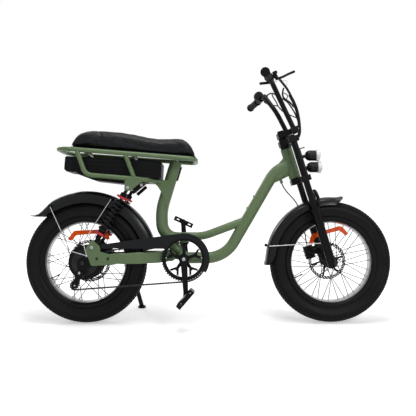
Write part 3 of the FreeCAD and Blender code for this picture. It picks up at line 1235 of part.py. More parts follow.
doc.recompute()
os.makedirs("parts", exist_ok=True)
for item in doc.Objects:
    if "Invalid" in item.State or "Error" in item.State:
        raise RuntimeError("%s did not compute: %s" % (item.Name, item.State))
for label, piece, place in nodes:
    piece.Placement = LEAN.multiply(place)
doc.recompute()
for label, piece, place in nodes:
    shape = piece.Shape
    if shape.isNull() or not shape.isValid():
        raise RuntimeError("%s has no valid shape" % label)
    shape.exportStep("parts/%s.step" % label)
    print("%-24s solids %d volume %.0f" % (label, len(shape.Solids), shape.Volume))
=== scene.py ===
import json
import math
import bmesh
import bpy
from mathutils import Matrix, Vector


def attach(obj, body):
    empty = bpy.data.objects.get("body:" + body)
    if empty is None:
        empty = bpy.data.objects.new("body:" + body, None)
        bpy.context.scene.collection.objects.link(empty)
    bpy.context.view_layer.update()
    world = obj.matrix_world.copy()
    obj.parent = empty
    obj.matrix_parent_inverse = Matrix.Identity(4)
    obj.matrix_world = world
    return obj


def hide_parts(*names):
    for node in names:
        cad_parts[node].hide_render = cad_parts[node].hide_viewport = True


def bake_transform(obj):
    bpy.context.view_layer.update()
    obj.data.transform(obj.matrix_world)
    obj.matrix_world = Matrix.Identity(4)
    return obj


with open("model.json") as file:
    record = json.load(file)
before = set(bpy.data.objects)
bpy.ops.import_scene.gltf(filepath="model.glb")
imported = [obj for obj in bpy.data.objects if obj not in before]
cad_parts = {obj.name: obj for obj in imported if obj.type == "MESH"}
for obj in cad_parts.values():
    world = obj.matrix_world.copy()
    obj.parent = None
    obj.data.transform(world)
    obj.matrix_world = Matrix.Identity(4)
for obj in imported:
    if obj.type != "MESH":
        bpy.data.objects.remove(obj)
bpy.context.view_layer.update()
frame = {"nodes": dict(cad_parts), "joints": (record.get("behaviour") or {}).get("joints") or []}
joints = {joint["name"]: joint for joint in frame["joints"]}
print("frame loaded")

# Places on the bike. Every one turns a piece's own coordinates into the leaned bike's.
places = {
    "wheelRadius": 0.285,
    "wheelBase": 1.150,
    "steerBase": (0.535504, 0.0, 0.272925),
    "headTilt": 17.0,
    "rackFront": (-0.055, 0.0, 0.761),
    "rackRise": 4.4,
    "bracket": (-0.114, 0.0, 0.303),
}


def moved(place):
    return Matrix.Translation(Vector(place))


def turned(degrees, axis):
    return Matrix.Rotation(math.radians(degrees), 4, axis)


leftward = Vector(joints["rear_wheel_spin"]["axis"])
leanAngle = math.atan2(leftward.z, leftward.y)
rearUpright = Vector((-places["wheelBase"] / 2, 0, places["wheelRadius"]))
leanTurn = Matrix.Rotation(leanAngle, 4, "X")
leaned = moved(Vector(joints["rear_wheel_spin"]["pos_m"]) - leanTurn @ rearUpright) @ leanTurn
facing = turned(90, "X")   # local X ahead, Y up, Z to the right
rearWheel = leaned @ moved(rearUpright) @ facing
frontWheel = leaned @ moved((places["wheelBase"] / 2, 0, places["wheelRadius"])) @ facing
cranks = leaned @ moved(places["bracket"]) @ facing
steering = leaned @ moved(places["steerBase"]) @ turned(-places["headTilt"], "Y")
rack = leaned @ moved(places["rackFront"]) @ turned(places["rackRise"], "Y")
wheels = (("front", frontWheel), ("rear", rearWheel))


# helpers
def linked(name, data):
    item = bpy.data.objects.new(name, data)
    bpy.context.scene.collection.objects.link(item)
    return item


def meshObject(name, mesh, place=None, smooth=None):
    # an object at the origin with its place in its mesh
    if place is not None:
        mesh.transform(place)
    piece = linked(name, mesh)
    if smooth is not None:
        for face in mesh.polygons:
            face.use_smooth = True
        mesh.set_sharp_from_angle(angle=math.radians(smooth))
    return piece


def hidden(name, mesh):
    # a shape that only feeds a node tree
    item = linked(name, mesh)
    item.hide_render = True
    return item


def clean(item):
    # drops a shape that only fed a tree
    bpy.data.objects.remove(item)


def circle(radius, sides):
    # points of a circle, each as its two coordinates
    angles = [2 * math.pi * k / sides for k in range(sides)]
    return [(radius * math.cos(angle), radius * math.sin(angle)) for angle in angles]


def closedMesh(name, points, faces):
    mesh = bpy.data.meshes.new(name)
    mesh.from_pydata([tuple(p) for p in points], [], faces)
    work = bmesh.new()
    work.from_mesh(mesh)
    bmesh.ops.remove_doubles(work, verts=work.verts, dist=1e-6)
    bmesh.ops.recalc_face_normals(work, faces=work.faces)
    work.to_mesh(mesh)
    work.free()
    return mesh


def stacked(name, rings):
    # rings of as many points each, joined one to the next and closed at both ends
    around = len(rings[0])
    last = (len(rings) - 1) * around
    faces = []
    for base in range(0, last, around):
        for k in range(around):
            m = (k + 1) % around
            faces.append((base + k, base + m, base + around + m, base + around + k))
    faces.append(tuple(range(around)))
    faces.append(tuple(reversed(range(last, last + around))))
    return closedMesh(name, [point for ring in rings for point in ring], faces)


def lathe(name, profile, segments):
    # a closed profile of (radius, height) turned about local Z
    points = []
    faces = []
    count = len(profile)
    for i in range(segments):
        angle = 2 * math.pi * i / segments
        for radius, height in profile:
            points.append((radius * math.cos(angle), radius * math.sin(angle), height))
        j = (i + 1) % segments
        for k in range(count):
            m = (k + 1) % count
            faces.append((i * count + k, j * count + k, j * count + m, i * count + m))
    return closedMesh(name, points, faces)


def block(name, size, inset, lift):
    # a small block on local YZ, its top pulled in by inset and standing lift along local X
    depth, width = size
    corners = [(-depth, -width), (depth, -width), (depth, width), (-depth, width)]
    points = []
    for rise, share in ((0.0, 0.0), (0.8, 0.4), (1.0, 1.0)):
        points += [(lift * rise, u / 2 - math.copysign(inset * share, u), v / 2 - math.copysign(inset * share, v))
                   for u, v in corners]
    faces = [(3, 2, 1, 0), (8, 9, 10, 11)]
    for base in (0, 4):
        for i in range(4):
            j = (i + 1) % 4
            faces.append((base + i, base + j, base + 4 + j, base + 4 + i))
    return closedMesh(name, points, faces)


def pathObject(name, points, cyclic=False):
    curve = bpy.data.curves.new(name, "CURVE")
    curve.dimensions = "3D"
    spline = curve.splines.new("POLY")
    spline.points.add(len(points) - 1)
    for spot, point in zip(spline.points, points):
        spot.co = (*point, 1)
    spline.use_cyclic_u = cyclic
    return linked(name, curve)


def joined(name, meshes):
    # several meshes as one, with their materials kept
    work = bmesh.new()
    kept = []
    for mesh in meshes:
        first = len(work.faces)
        work.from_mesh(mesh)
        work.faces.ensure_lookup_table()
        known = list(mesh.materials)
        for face in work.faces[first:]:
            if known:
                chosen = known[min(face.material_index, len(known) - 1)]
                if chosen not in kept:
                    kept.append(chosen)
                face.material_index = kept.index(chosen)
    result = bpy.data.meshes.new(name)
    work.to_mesh(result)
    work.free()
    for material in kept:
        result.materials.append(material)
    return result


# nodes
def feed(tree, sockets, values):
    # each socket takes a value or another node's output
    for label, value in values.items():
        if isinstance(value, bpy.types.NodeSocket):
            tree.links.new(value, sockets[label])
        else:
            sockets[label].default_value = value


def addNode(tree, kind, values=None, **settings):
    node = tree.nodes.new(kind)
    for label, value in settings.items():
        setattr(node, label, value)
    feed(tree, node.inputs, values or {})
    return node


def mathNode(tree, operation, *values):
    return addNode(tree, "ShaderNodeMath", dict(enumerate(values)), operation=operation).outputs[0]


def rangeNode(tree, value, fromLow, fromHigh, toLow=0.0, toHigh=1.0):
    values = dict(enumerate((value, fromLow, fromHigh, toLow, toHigh)))
    return addNode(tree, "ShaderNodeMapRange", values).outputs[0]


def vectorNode(tree, *values):
    return addNode(tree, "ShaderNodeCombineXYZ", dict(enumerate(values))).outputs[0]


def newTree(name, kind, inputs, outputs, values=None):
    # a node group with these sockets: the tree, what leaves its start, what enters its end
    tree = bpy.data.node_groups.new(name, kind)
    for way, sockets in (("INPUT", inputs), ("OUTPUT", outputs)):
        for label, shape in sockets.items():
            socket = tree.interface.new_socket(name=label, in_out=way, socket_type="NodeSocket" + shape)
            if label in (values or {}):
                socket.default_value = values[label]
    return tree, addNode(tree, "NodeGroupInput").outputs, addNode(tree, "NodeGroupOutput").inputs


def repeatTree(name, inputs):
    return newTree(name, "GeometryNodeTree", inputs, {"Geometry": "Geometry"})


def shapeOf(tree, item):
    return addNode(tree, "GeometryNodeObjectInfo", {"Object": item}).outputs["Geometry"]


def setOn(tree, points, item, rotation, **more):
    # an item on each point
    values = {"Points": points, "Instance": shapeOf(tree, item), "Rotation": rotation, **more}
    return addNode(tree, "GeometryNodeInstanceOnPoints", values).outputs[0]


def roundSkin(tree, path, radius, sides):
    section = addNode(tree, "GeometryNodeCurvePrimitiveCircle", {"Resolution": sides, "Radius": radius})
    return addNode(tree, "GeometryNodeCurveToMesh", {
        "Curve": path, "Profile Curve": section.outputs[0], "Fill Caps": True}).outputs[0]


def painted(tree, start, end, geometry):
    # instances made real, in the material asked for
    real = addNode(tree, "GeometryNodeRealizeInstances", {0: geometry}).outputs[0]
    paint = addNode(tree, "GeometryNodeSetMaterial", {"Geometry": real, "Material": start["Material"]})
    feed(tree, end, {0: paint.outputs[0]})
    return tree


def ringTree():
    # like items set round a wheel, each turned to face outwards
    tree, start, end = repeatTree("Items round a wheel", {
        "Item": "Object", "Count": "Int", "Radius": "Float", "Height": "Float", "Phase": "Float",
        "Tip": "Float", "Twist": "Float", "Material": "Material"})
    index = addNode(tree, "GeometryNodeInputIndex").outputs[0]
    step = mathNode(tree, "DIVIDE", 2 * math.pi, start["Count"])
    angle = mathNode(tree, "MULTIPLY", mathNode(tree, "ADD", index, start["Phase"]), step)
    spot = vectorNode(tree, mathNode(tree, "MULTIPLY", mathNode(tree, "COSINE", angle), start["Radius"]),
                      mathNode(tree, "MULTIPLY", mathNode(tree, "SINE", angle), start["Radius"]), start["Height"])
    points = addNode(tree, "GeometryNodePoints", {"Count": start["Count"], "Position": spot}).outputs[0]
    turn = vectorNode(tree, start["Twist"], start["Tip"], angle)
    return painted(tree, start, end, setOn(tree, points, start["Item"], turn))


def pathTree():
    # two kinds of item in turn along a path, laid in the path's plane
    tree, start, end = repeatTree("Items along a path", {
        "Path": "Object", "Item": "Object", "Other item": "Object", "Count": "Int", "Material": "Material"})
    points = addNode(tree, "GeometryNodeCurveToPoints", {
        "Curve": shapeOf(tree, start["Path"]), "Count": start["Count"]}, mode="COUNT").outputs
    along = addNode(tree, "FunctionNodeAlignRotationToVector", {"Vector": points["Tangent"]}, axis="X")
    square = addNode(tree, "FunctionNodeAlignRotationToVector", {
        "Rotation": along.outputs[0], "Vector": (0, 0, 1)}, axis="Z", pivot_axis="X")
    odd = mathNode(tree, "MODULO", addNode(tree, "GeometryNodeInputIndex").outputs[0], 2.0)
    both = addNode(tree, "GeometryNodeJoinGeometry")
    for name, pick in (("Other item", odd), ("Item", mathNode(tree, "SUBTRACT", 1.0, odd))):
        feed(tree, both.inputs, {
            0: setOn(tree, points["Points"], start[name], square.outputs[0], Selection=pick)})
    return painted(tree, start, end, both.outputs[0])


def coilTree():
    # a round wire wound into a spring along local Z
    tree, start, end = repeatTree("Wound spring", {
        "Turns": "Float", "Radius": "Float", "Length": "Float", "Wire": "Float", "Material": "Material"})
    spiral = addNode(tree, "GeometryNodeCurveSpiral", {
        "Resolution": 28, "Rotations": start["Turns"], "Start Radius": start["Radius"],
        "End Radius": start["Radius"], "Height": start["Length"]})
    return painted(tree, start, end, roundSkin(tree, spiral.outputs[0], start["Wire"], 10))


def tubeTree():
    # a round tube along a path
    tree, start, end = repeatTree("Tube along a path", {
        "Path": "Object", "Radius": "Float", "Material": "Material"})
    return painted(tree, start, end, roundSkin(tree, shapeOf(tree, start["Path"]), start["Radius"], 12))


def screwTree():
    # a screw on each vertex of the spots, along its "axis" and as large as its "size"
    tree, start, end = repeatTree("Screws on spots", {"Spots": "Object", "Item": "Object", "Material": "Material"})
    axis, large = [
        addNode(tree, "GeometryNodeInputNamedAttribute", {"Name": name}, data_type=kind).outputs["Attribute"]
        for name, kind in (("axis", "FLOAT_VECTOR"), ("size", "FLOAT"))]
    turn = addNode(tree, "FunctionNodeAlignRotationToVector", {"Vector": axis}, axis="Z").outputs[0]
    spots = shapeOf(tree, start["Spots"])
    return painted(tree, start, end, setOn(tree, spots, start["Item"], turn, Scale=large))


trees = {"ring": ringTree(), "path": pathTree(), "coil": coilTree(), "tube": tubeTree(), "screws": screwTree()}


def grown(name, treeName, values):
    # the mesh that a tree makes from these named values
    carrier = linked(name + "Carrier", bpy.data.meshes.new(name + "Start"))
    modifier = carrier.modifiers.new("Repeat", "NODES")
    tree = trees[treeName]
    modifier.node_group = tree
    for socket in tree.interface.items_tree:
        if socket.item_type == "SOCKET" and socket.in_out == "INPUT" and socket.name in values:
            modifier[socket.identifier] = values[socket.name]
    bpy.context.view_layer.update()
    ready = carrier.evaluated_get(bpy.context.evaluated_depsgraph_get())
    mesh = bpy.data.meshes.new_from_object(ready)
    mesh.name = name
    bpy.data.objects.remove(carrier)
    return mesh


# shader groups shared by the finishes
def mixColor(tree, share, first, second):
    # the node's color inputs are its sixth and seventh, counted from 0
    colors = [color if isinstance(color, bpy.types.NodeSocket) else (*color, 1.0) for color in (first, second)]
    return addNode(tree, "ShaderNodeMix", {0: share, 6: colors[0], 7: colors[1]}, data_type="RGBA").outputs[2]


def driftColor(tree, drift, color, darker, lighter):
    return mixColor(tree, drift, [c * darker for c in color], [min(1.0, c * lighter) for c in color])


def bumpNode(tree, height, strength, distance, **more):
    return addNode(tree, "ShaderNodeBump", {
        "Strength": strength, "Distance": distance, "Height": height, **more}).outputs[0]


def apart(tree, vector):
    return addNode(tree, "ShaderNodeSeparateXYZ", {0: vector}).outputs


def lengthNode(tree, first, second):
    squares = [mathNode(tree, "MULTIPLY", value, value) for value in (first, second)]
    return mathNode(tree, "SQRT", mathNode(tree, "ADD", *squares))


def grainGroup():
    # fine surface grain with a slow drift of tone over it
    tree, start, end = newTree(
        "Surface grain", "ShaderNodeTree", {"Vector": "Vector", "Grain size": "Float", "Drift size": "Float"},
        {"Height": "Float", "Drift": "Float"}, {"Grain size": 900.0, "Drift size": 9.0})
    fine, slow = [
        addNode(tree, "ShaderNodeTexNoise", {"Vector": start["Vector"], "Scale": start[size], "Detail": detail})
        for size, detail in (("Grain size", 3.0), ("Drift size", 4.0))]
    feed(tree, end, {"Height": fine.outputs[0], "Drift": rangeNode(tree, slow.outputs[0], 0.3, 0.7)})
    return tree


def edgeGroup():
    # painted edge highlight, broken up like wear: 1 along a convex edge, 0 on the faces
    tree, start, end = newTree("Edge highlight and wear", "ShaderNodeTree", {"Reach": "Float"},
                               {"Mask": "Float", "Normal": "Vector"}, {"Reach": 0.0012})
    soft = addNode(tree, "ShaderNodeBevel", {"Radius": start["Reach"]}, samples=4).outputs[0]
    flat = addNode(tree, "ShaderNodeNewGeometry").outputs["True Normal"]
    dot = addNode(tree, "ShaderNodeVectorMath", {0: soft, 1: flat}, operation="DOT_PRODUCT")
    where = addNode(tree, "ShaderNodeTexCoord").outputs["Object"]
    broken = addNode(tree, "ShaderNodeTexNoise", {"Vector": where, "Scale": 120.0})
    edge = rangeNode(tree, dot.outputs["Value"], 0.98, 0.82)
    feed(tree, end, {"Mask": mathNode(tree, "MULTIPLY", edge, rangeNode(tree, broken.outputs[0], 0.35, 0.65)),
                     "Normal": soft})
    return tree


def radiusGroup():
    # distance from a wheel's axle line and angle about it, in the wheel's own coordinates
    tree, start, end = newTree("Distance from the axle", "ShaderNodeTree", {"Vector": "Vector"},
                               {"Radius": "Float", "Angle": "Float"})
    spot = apart(tree, start[0])
    feed(tree, end, {"Radius": lengthNode(tree, spot["X"], spot["Y"]),
                     "Angle": mathNode(tree, "ARCTAN2", spot["Y"], spot["X"])})
    return tree


groups = {"grain": grainGroup(), "edge": edgeGroup(), "radius": radiusGroup()}


def groupNode(tree, name, values):
    return addNode(tree, "ShaderNodeGroup", values, node_tree=groups[name]).outputs


def newMaterial(name, source=None):
    # a new or copied material, its tree, its Principled shader's inputs and the place on the piece
    material = source.copy() if source else bpy.data.materials.new(name)
    material.name = name
    material.use_nodes = True
    tree = material.node_tree
    where = addNode(tree, "ShaderNodeTexCoord").outputs["Object"]
    return material, tree, tree.nodes["Principled BSDF"].inputs, where


def finishMaterial(name, look):
    # a material with grain, drift and lighter convex edges (a painted edge highlight, broken up like wear) from one
    # dictionary
    material, tree, shader, where = newMaterial(name)
    grain = groupNode(tree, "grain", {
        "Vector": where, "Grain size": look.get("grain", 900.0), "Drift size": look.get("drift", 9.0)})
    if "colors" in look:
        color = mixColor(tree, grain["Drift"], *look["colors"])
    else:
        shade = look.get("shade", 0.12)
        color = driftColor(tree, grain["Drift"], look["color"], 1 - shade, 1 + shade)
    edges = {}
    # the lighter edge colour is a painted edge highlight along convex edges, broken up like wear
    if "edgeHighlightAndWear" in look:
        edge = groupNode(tree, "edge", {"Reach": 0.001})
        share = mathNode(tree, "MULTIPLY", edge["Mask"], look.get("edgeHighlightAndWearShare", 0.35))
        color = mixColor(tree, share, color, look["edgeHighlightAndWear"])
        edges["Normal"] = edge["Normal"]
    rough, spread = look["rough"], look.get("roughSpread", 0.05)
    feed(tree, shader, {
        "Base Color": color,
        "Roughness": rangeNode(tree, grain["Drift"], 0.0, 1.0, rough - spread, rough + spread),
        "Normal": bumpNode(tree, grain["Height"], look.get("bump", 0.08), look.get("bumpDepth", 0.0004), **edges),
        "Metallic": look.get("metal", 0.0),
        "Coat Weight": look.get("coat", 0.0),
        "Coat Roughness": look.get("coatRough", 0.15),
        "Specular IOR Level": look.get("specular", 0.5)})
    return material


# each finish's lighter edge colour is a painted edge highlight, broken up like wear
finishes = {
    "greenPaint": {"color": (0.118, 0.180, 0.082), "rough": 0.42, "shade": 0.05, "drift": 14.0, "grain": 1400.0,
                   "bump": 0.05, "coat": 0.12, "coatRough": 0.30, "specular": 0.30, "edgeHighlightAndWear": (0.26, 0.38, 0.18),
                   "edgeHighlightAndWearShare": 0.25},
    "blackPaint": {"color": (0.0040, 0.0042, 0.0047), "rough": 0.36, "specular": 0.09, "edgeHighlightAndWear": (0.10, 0.10, 0.11),
                   "edgeHighlightAndWearShare": 0.25},
    "blackAlloy": {"color": (0.0052, 0.0055, 0.0060), "rough": 0.40, "specular": 0.09, "edgeHighlightAndWear": (0.16, 0.16, 0.17),
                   "bump": 0.12, "grain": 1600.0, "edgeHighlightAndWearShare": 0.25},
    "legGloss": {"color": (0.0030, 0.0031, 0.0035), "rough": 0.24, "specular": 0.10, "edgeHighlightAndWear": (0.08, 0.08, 0.09),
                 "edgeHighlightAndWearShare": 0.2},
    "plastic": {"color": (0.0050, 0.0053, 0.0060), "rough": 0.46, "specular": 0.09, "bump": 0.2, "grain": 1100.0,
                "edgeHighlightAndWear": (0.05, 0.05, 0.055)},
    "guardPlastic": {"color": (0.0045, 0.0052, 0.0062), "rough": 0.26, "specular": 0.18, "bump": 0.03,
                     "edgeHighlightAndWear": (0.10, 0.11, 0.12)},
    "mudguardPlastic": {"color": (0.0042, 0.0048, 0.0058), "rough": 0.24, "specular": 0.19, "bump": 0.03,
                        "edgeHighlightAndWear": (0.09, 0.10, 0.11)},
    "rubber": {"color": (0.0050, 0.0050, 0.0053), "rough": 0.70, "specular": 0.12, "bump": 0.25, "grain": 700.0},
    "cable": {"color": (0.0040, 0.0040, 0.0044), "rough": 0.44, "specular": 0.14, "bump": 0.04},
    "steel": {"color": (0.46, 0.46, 0.47), "rough": 0.30, "metal": 0.95, "shade": 0.15, "drift": 30.0},
    "boltSteel": {"color": (0.38, 0.38, 0.40), "rough": 0.26, "metal": 1.0, "shade": 0.1},
    "darkSteel": {"color": (0.026, 0.026, 0.027), "rough": 0.40, "metal": 0.85, "shade": 0.3, "drift": 40.0},
    "spring": {"color": (0.0040, 0.0040, 0.0046), "rough": 0.32, "specular": 0.18},
    "redRing": {"color": (0.50, 0.020, 0.032), "rough": 0.32, "metal": 0.4, "edgeHighlightAndWear": (0.8, 0.3, 0.3)},
    "reflectorOrange": {"color": (0.86, 0.090, 0.004), "rough": 0.30, "specular": 0.15, "shade": 0.3, "drift": 70.0},
    "lampShell": {"color": (0.0045, 0.0048, 0.0054), "rough": 0.32, "specular": 0.16, "edgeHighlightAndWear": (0.09, 0.09, 0.10)},
    "tyreRubber": {"colors": ((0.0026, 0.0026, 0.0029), (0.0078, 0.0078, 0.0082)), "rough": 0.47,
                   "roughSpread": 0.09, "specular": 0.11, "bump": 0.35, "bumpDepth": 0.0005, "grain": 650.0,
                   "drift": 12.0},
}
materials = {name: finishMaterial(name, look) for name, look in finishes.items()}
print("finishes made")


# tyres
tyre = {
    "base": [(0.2812, 0.0), (0.2806, 0.0100), (0.2782, 0.0200), (0.2735, 0.0300), (0.2670, 0.0385), (0.2600, 0.0438),
             (0.2530, 0.0466), (0.2470, 0.0476), (0.2455, 0.0489), (0.2425, 0.0489), (0.2410, 0.0476),
             (0.2330, 0.0456), (0.2255, 0.0424), (0.2225, 0.0411), (0.2205, 0.0413), (0.2185, 0.0400),
             (0.2150, 0.0372), (0.2122, 0.0357), (0.2035, 0.0357)],
    "segments": 144,
    "pitch": 112,
    # height from the middle plane, radius, tip, block length, block width, start along the pitch, twist
    "rows": [
        (0.0000, 0.2808, 0.00, 0.0100, 0.0085, 0.00, 0.0),
        (0.0125, 0.2796, 0.12, 0.0095, 0.0095, 0.50, 0.25),
        (0.0250, 0.2756, 0.34, 0.0100, 0.0095, 0.00, -0.25),
        (0.0352, 0.2692, 0.72, 0.0088, 0.0098, 0.50, 0.0),
        (0.0422, 0.2612, 1.08, 0.0095, 0.0090, 0.00, 0.0),
    ],
    "lift": 0.0040,
    "inset": 0.0009,
}


def makeTyre(end, place):
    half = tyre["base"]
    ring = half + [(r, -h) for r, h in reversed(half[1:])]
    carcass = lathe(end + "Carcass", ring, tyre["segments"])
    carcass.materials.append(materials["tyreRubber"])
    parts = [carcass]
    for number, (height, radius, tip, along, across, start, twist) in enumerate(tyre["rows"]):
        lug = hidden("Lug", block("Lug", (along, across), tyre["inset"], tyre["lift"]))
        for side in ((1,) if height == 0 else (1, -1)):
            parts.append(grown("%sRow%d" % (end, number), "ring", {
                "Item": lug, "Count": tyre["pitch"], "Radius": radius, "Height": side * height,
                "Phase": start + (0.25 if side < 0 else 0.0), "Tip": -side * tip, "Twist": side * twist,
                "Material": materials["tyreRubber"]}))
        clean(lug)
    piece = meshObject(end + "_tyre_tread", joined(end + "Tyre", parts), place, smooth=30)
    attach(piece, end + "_wheel")
    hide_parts(end + "_tyre")


for end, place in wheels:
    makeTyre(end, place)
print("tyres made")


# seat cushion
seat = {
    "sideProfile": [(-0.586, 0.032), (-0.576, 0.054), (-0.562, 0.078), (-0.546, 0.0895), (-0.520, 0.0975),
                    (-0.440, 0.1005), (-0.363, 0.1005), (-0.300, 0.0955), (-0.234, 0.0865), (-0.190, 0.0835),
                    (-0.150, 0.0860), (-0.110, 0.0905), (-0.072, 0.0930), (-0.048, 0.0840), (-0.030, 0.0630),
                    (-0.018, 0.0440), (-0.008, 0.0300)],
    "bottom": 0.0166,
    "halfWidth": 0.0965,
    "voxel": 0.0055,
    "cap": 0.007,
    "base": 0.004,
    "frames": 20,
    "cloth": {"vertex_group_mass": "base", "use_pressure": True, "uniform_pressure_force": 4.0, "quality": 5,
              "tension_stiffness": 14, "bending_stiffness": 0.6},
    "panelSeam": -0.462,
    # how far the start lies inside the profile, and how its ends and its section are rounded
    "slack": 0.004,
    "endSlack": 0.003,
    "endReach": 0.05,
    "endIn": 0.020,
    "corners": (0.42, 0.55),
    "crown": 0.16,
    "stations": 64,
    "around": 28,
    # depth of the panel seam and half its width, of the small creases, and of the fold round the lower edge
    "seam": (0.0022, 0.0042),
    "crease": 0.0009,
    "fold": 0.0012,
}


def profileHeight(ahead):
    points = seat["sideProfile"]
    if ahead <= points[0][0]:
        return points[0][1]
    for (x1, z1), (x2, z2) in zip(points, points[1:]):
        if ahead <= x2:
            share = (ahead - x1) / (x2 - x1)
            return z1 + share * (z2 - z1)
    return points[-1][1]


def signedPower(value, power):
    return math.copysign(abs(value) ** power, value)


def cushionStart():
    # a slightly smaller crowned shape in the rack's frame: X ahead, Y left, Z up
    low = seat["sideProfile"][0][0] + seat["endSlack"]
    high = seat["sideProfile"][-1][0] - seat["endSlack"]
    rings = []
    for i in range(seat["stations"] + 1):
        ahead = low + (high - low) * (i / seat["stations"])
        height = profileHeight(ahead) - seat["slack"] - seat["bottom"]
        inside = max(0.0, min(1.0, (ahead - low) / seat["endReach"], (high - ahead) / seat["endReach"]))
        width = seat["halfWidth"] - seat["slack"] - seat["endIn"] * (1 - math.sin(0.5 * math.pi * inside))
        ring = []
        for c, s in circle(1.0, seat["around"]):
            y = width * signedPower(c, seat["corners"][0])
            v = signedPower(s, seat["corners"][1])
            if v > 0:
                y *= 1 - seat["crown"] * v * v
            ring.append((ahead, y, seat["bottom"] + height * (0.5 + 0.5 * v)))
        rings.append(ring)
    return stacked("CushionStart", rings)


def evaluated(piece):
    return bpy.data.meshes.new_from_object(piece.evaluated_get(bpy.context.evaluated_depsgraph_get()))


def swollen(piece):
    # the mesh blown up as cloth held by its base, nowhere by more than the cap
    rest = [v.co.copy() for v in piece.data.vertices]
    fixed = piece.vertex_groups.new(name="base")
    for v in piece.data.vertices:
        if v.co.z < seat["bottom"] + seat["base"]:
            fixed.add([v.index], 1.0, "REPLACE")
    settings = piece.modifiers.new("Cloth", "CLOTH").settings
    for label, value in seat["cloth"].items():
        setattr(settings, label, value)
    settings.effector_weights.gravity = 0
    scene = bpy.context.scene
    for step in range(1, seat["frames"] + 1):
        scene.frame_set(step)
    mesh = evaluated(piece)
    piece.modifiers.clear()
    piece.vertex_groups.clear()
    scene.frame_set(1)
    for v, old in zip(mesh.vertices, rest):
        shift = v.co - old
        if shift.length > seat["cap"]:
            v.co = old + shift.normalized() * seat["cap"]
        v.co.z = max(v.co.z, seat["bottom"])
    return mesh


def makeCushion():
    piece = meshObject("seat_cushion_cover", cushionStart())
    bpy.context.view_layer.objects.active = piece
    remesh = piece.modifiers.new("Even", "REMESH")
    remesh.mode = "VOXEL"
    remesh.voxel_size = seat["voxel"]
    even = evaluated(piece)
    piece.modifiers.remove(remesh)
    piece.data = even
    piece.data = swollen(piece)
    # a sewn panel seam across the rear, a fold above the lower edge and soft creases
    for v in piece.data.vertices:
        x, y, z = v.co
        groove = math.exp(-((x - seat["panelSeam"] - 0.010 * math.sin(9 * z / 0.09)) / seat["seam"][1]) ** 2)
        side = min(1.0, max(0.0, (z - seat["bottom"] - 0.006) / 0.02))
        crease = seat["crease"] * math.sin(62 * x + 14 * math.sin(23 * y)) * math.sin(31 * z / 0.05) * side
        fold = seat["fold"] * math.exp(-((z - 0.045 - 0.02 * math.sin(11 * x)) / 0.007) ** 2) * side
        inward = Vector((0, math.copysign(1, y) if abs(y) > 0.06 else 0, 1 if z > 0.06 else 0))
        if inward.length > 0:
            v.co -= inward.normalized() * (seat["seam"][0] * groove * side + crease + fold)
    piece.data.transform(rack)
    for face in piece.data.polygons:
        face.use_smooth = True
    smoother = piece.modifiers.new("Smooth skin", "SUBSURF")
    smoother.levels = smoother.render_levels = 1
    return piece


def leatherMaterial():
    # black coated fabric: fine pebble grain, broad soft wrinkles
    material, tree, shader, where = newMaterial("seatLeather")
    pebble = addNode(tree, "ShaderNodeTexVoronoi", {"Vector": where, "Scale": 520.0})
    wrinkle = addNode(tree, "ShaderNodeTexNoise", {
        "Vector": where, "Scale": 26.0, "Detail": 5.0, "Distortion": 1.1}).outputs[0]
    broad = bumpNode(tree, wrinkle, 0.45, 0.004)
    feed(tree, shader, {
        "Base Color": mixColor(tree, rangeNode(tree, wrinkle, 0.35, 0.65), (0.0030, 0.0034, 0.0042),
                               (0.0095, 0.0100, 0.0114)),
        "Roughness": rangeNode(tree, wrinkle, 0.3, 0.7, 0.36, 0.52),
        "Normal": bumpNode(tree, pebble.outputs["Distance"], 0.30, 0.0004, Normal=broad),
        "Specular IOR Level": 0.16})
    return material


cushion = makeCushion()
cushion.data.materials.clear()
cushion.data.materials.append(leatherMaterial())
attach(cushion, "frame")
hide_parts("seat_cushion")
print("cushion made")


# chain
chain = {
    "ring": (0.0, 0.0, 0.1051, 1),
    "cog": (-0.461, -0.018, 0.0280, 1),
    "upperJockey": (-0.484, -0.072, 0.0180, -1),
    "lowerJockey": (-0.500, -0.121, 0.0200, 1),
    "line": 0.075,
    "pitch": 0.0127,
    # length of a step along a straight run and round a wheel
    "steps": (0.006, 0.004),
    # half the width of a plate at its pins and at its waist, its thickness, and the pins' radius
    "plate": (0.0040, 0.0028),
    "thick": 0.0009,
    "pin": 0.0024,
    # how far apart the plates of each kind of link lie
    "inner": 0.0036,
    "outer": 0.0056,
}


def chainPath():
    # the chain's middle line round its four wheels, in the crank's side view
    loop = [chain[k] for k in ("ring", "cog", "upperJockey", "lowerJockey")]
    tangents = []
    for i in range(4):
        x1, y1, r1, s1 = loop[i]
        x2, y2, r2, s2 = loop[(i + 1) % 4]
        gap = math.hypot(x2 - x1, y2 - y1)
        normal = math.atan2(y2 - y1, x2 - x1) - math.acos((r1 * s1 - r2 * s2) / gap)
        way = Vector((math.cos(normal), math.sin(normal), 0))
        tangents.append((Vector((x1, y1, 0)) + way * r1 * s1, Vector((x2, y2, 0)) + way * r2 * s2))
    points = []
    for i in range(4):
        first, second = tangents[i]
        count = max(2, int((second - first).length / chain["steps"][0]))
        points += [first.lerp(second, k / count) for k in range(count)]
        x, y, r, s = loop[(i + 1) % 4]
        centre = Vector((x, y, 0))
        a = second - centre
        b = tangents[(i + 1) % 4][0] - centre
        start, stop = math.atan2(a.y, a.x), math.atan2(b.y, b.x)
        sweep = (stop - start) % (2 * math.pi) if s > 0 else -((start - stop) % (2 * math.pi))
        count = max(3, int(abs(sweep) * r / chain["steps"][1]))
        for k in range(count):
            angle = start + sweep * k / count
            points.append(centre + Vector((math.cos(angle), math.sin(angle), 0)) * r)
    return points


def slab(outline, middle, thick):
    return stacked("Slab", [[(x, y, middle + side * thick / 2) for x, y in outline] for side in (-1, 1)])


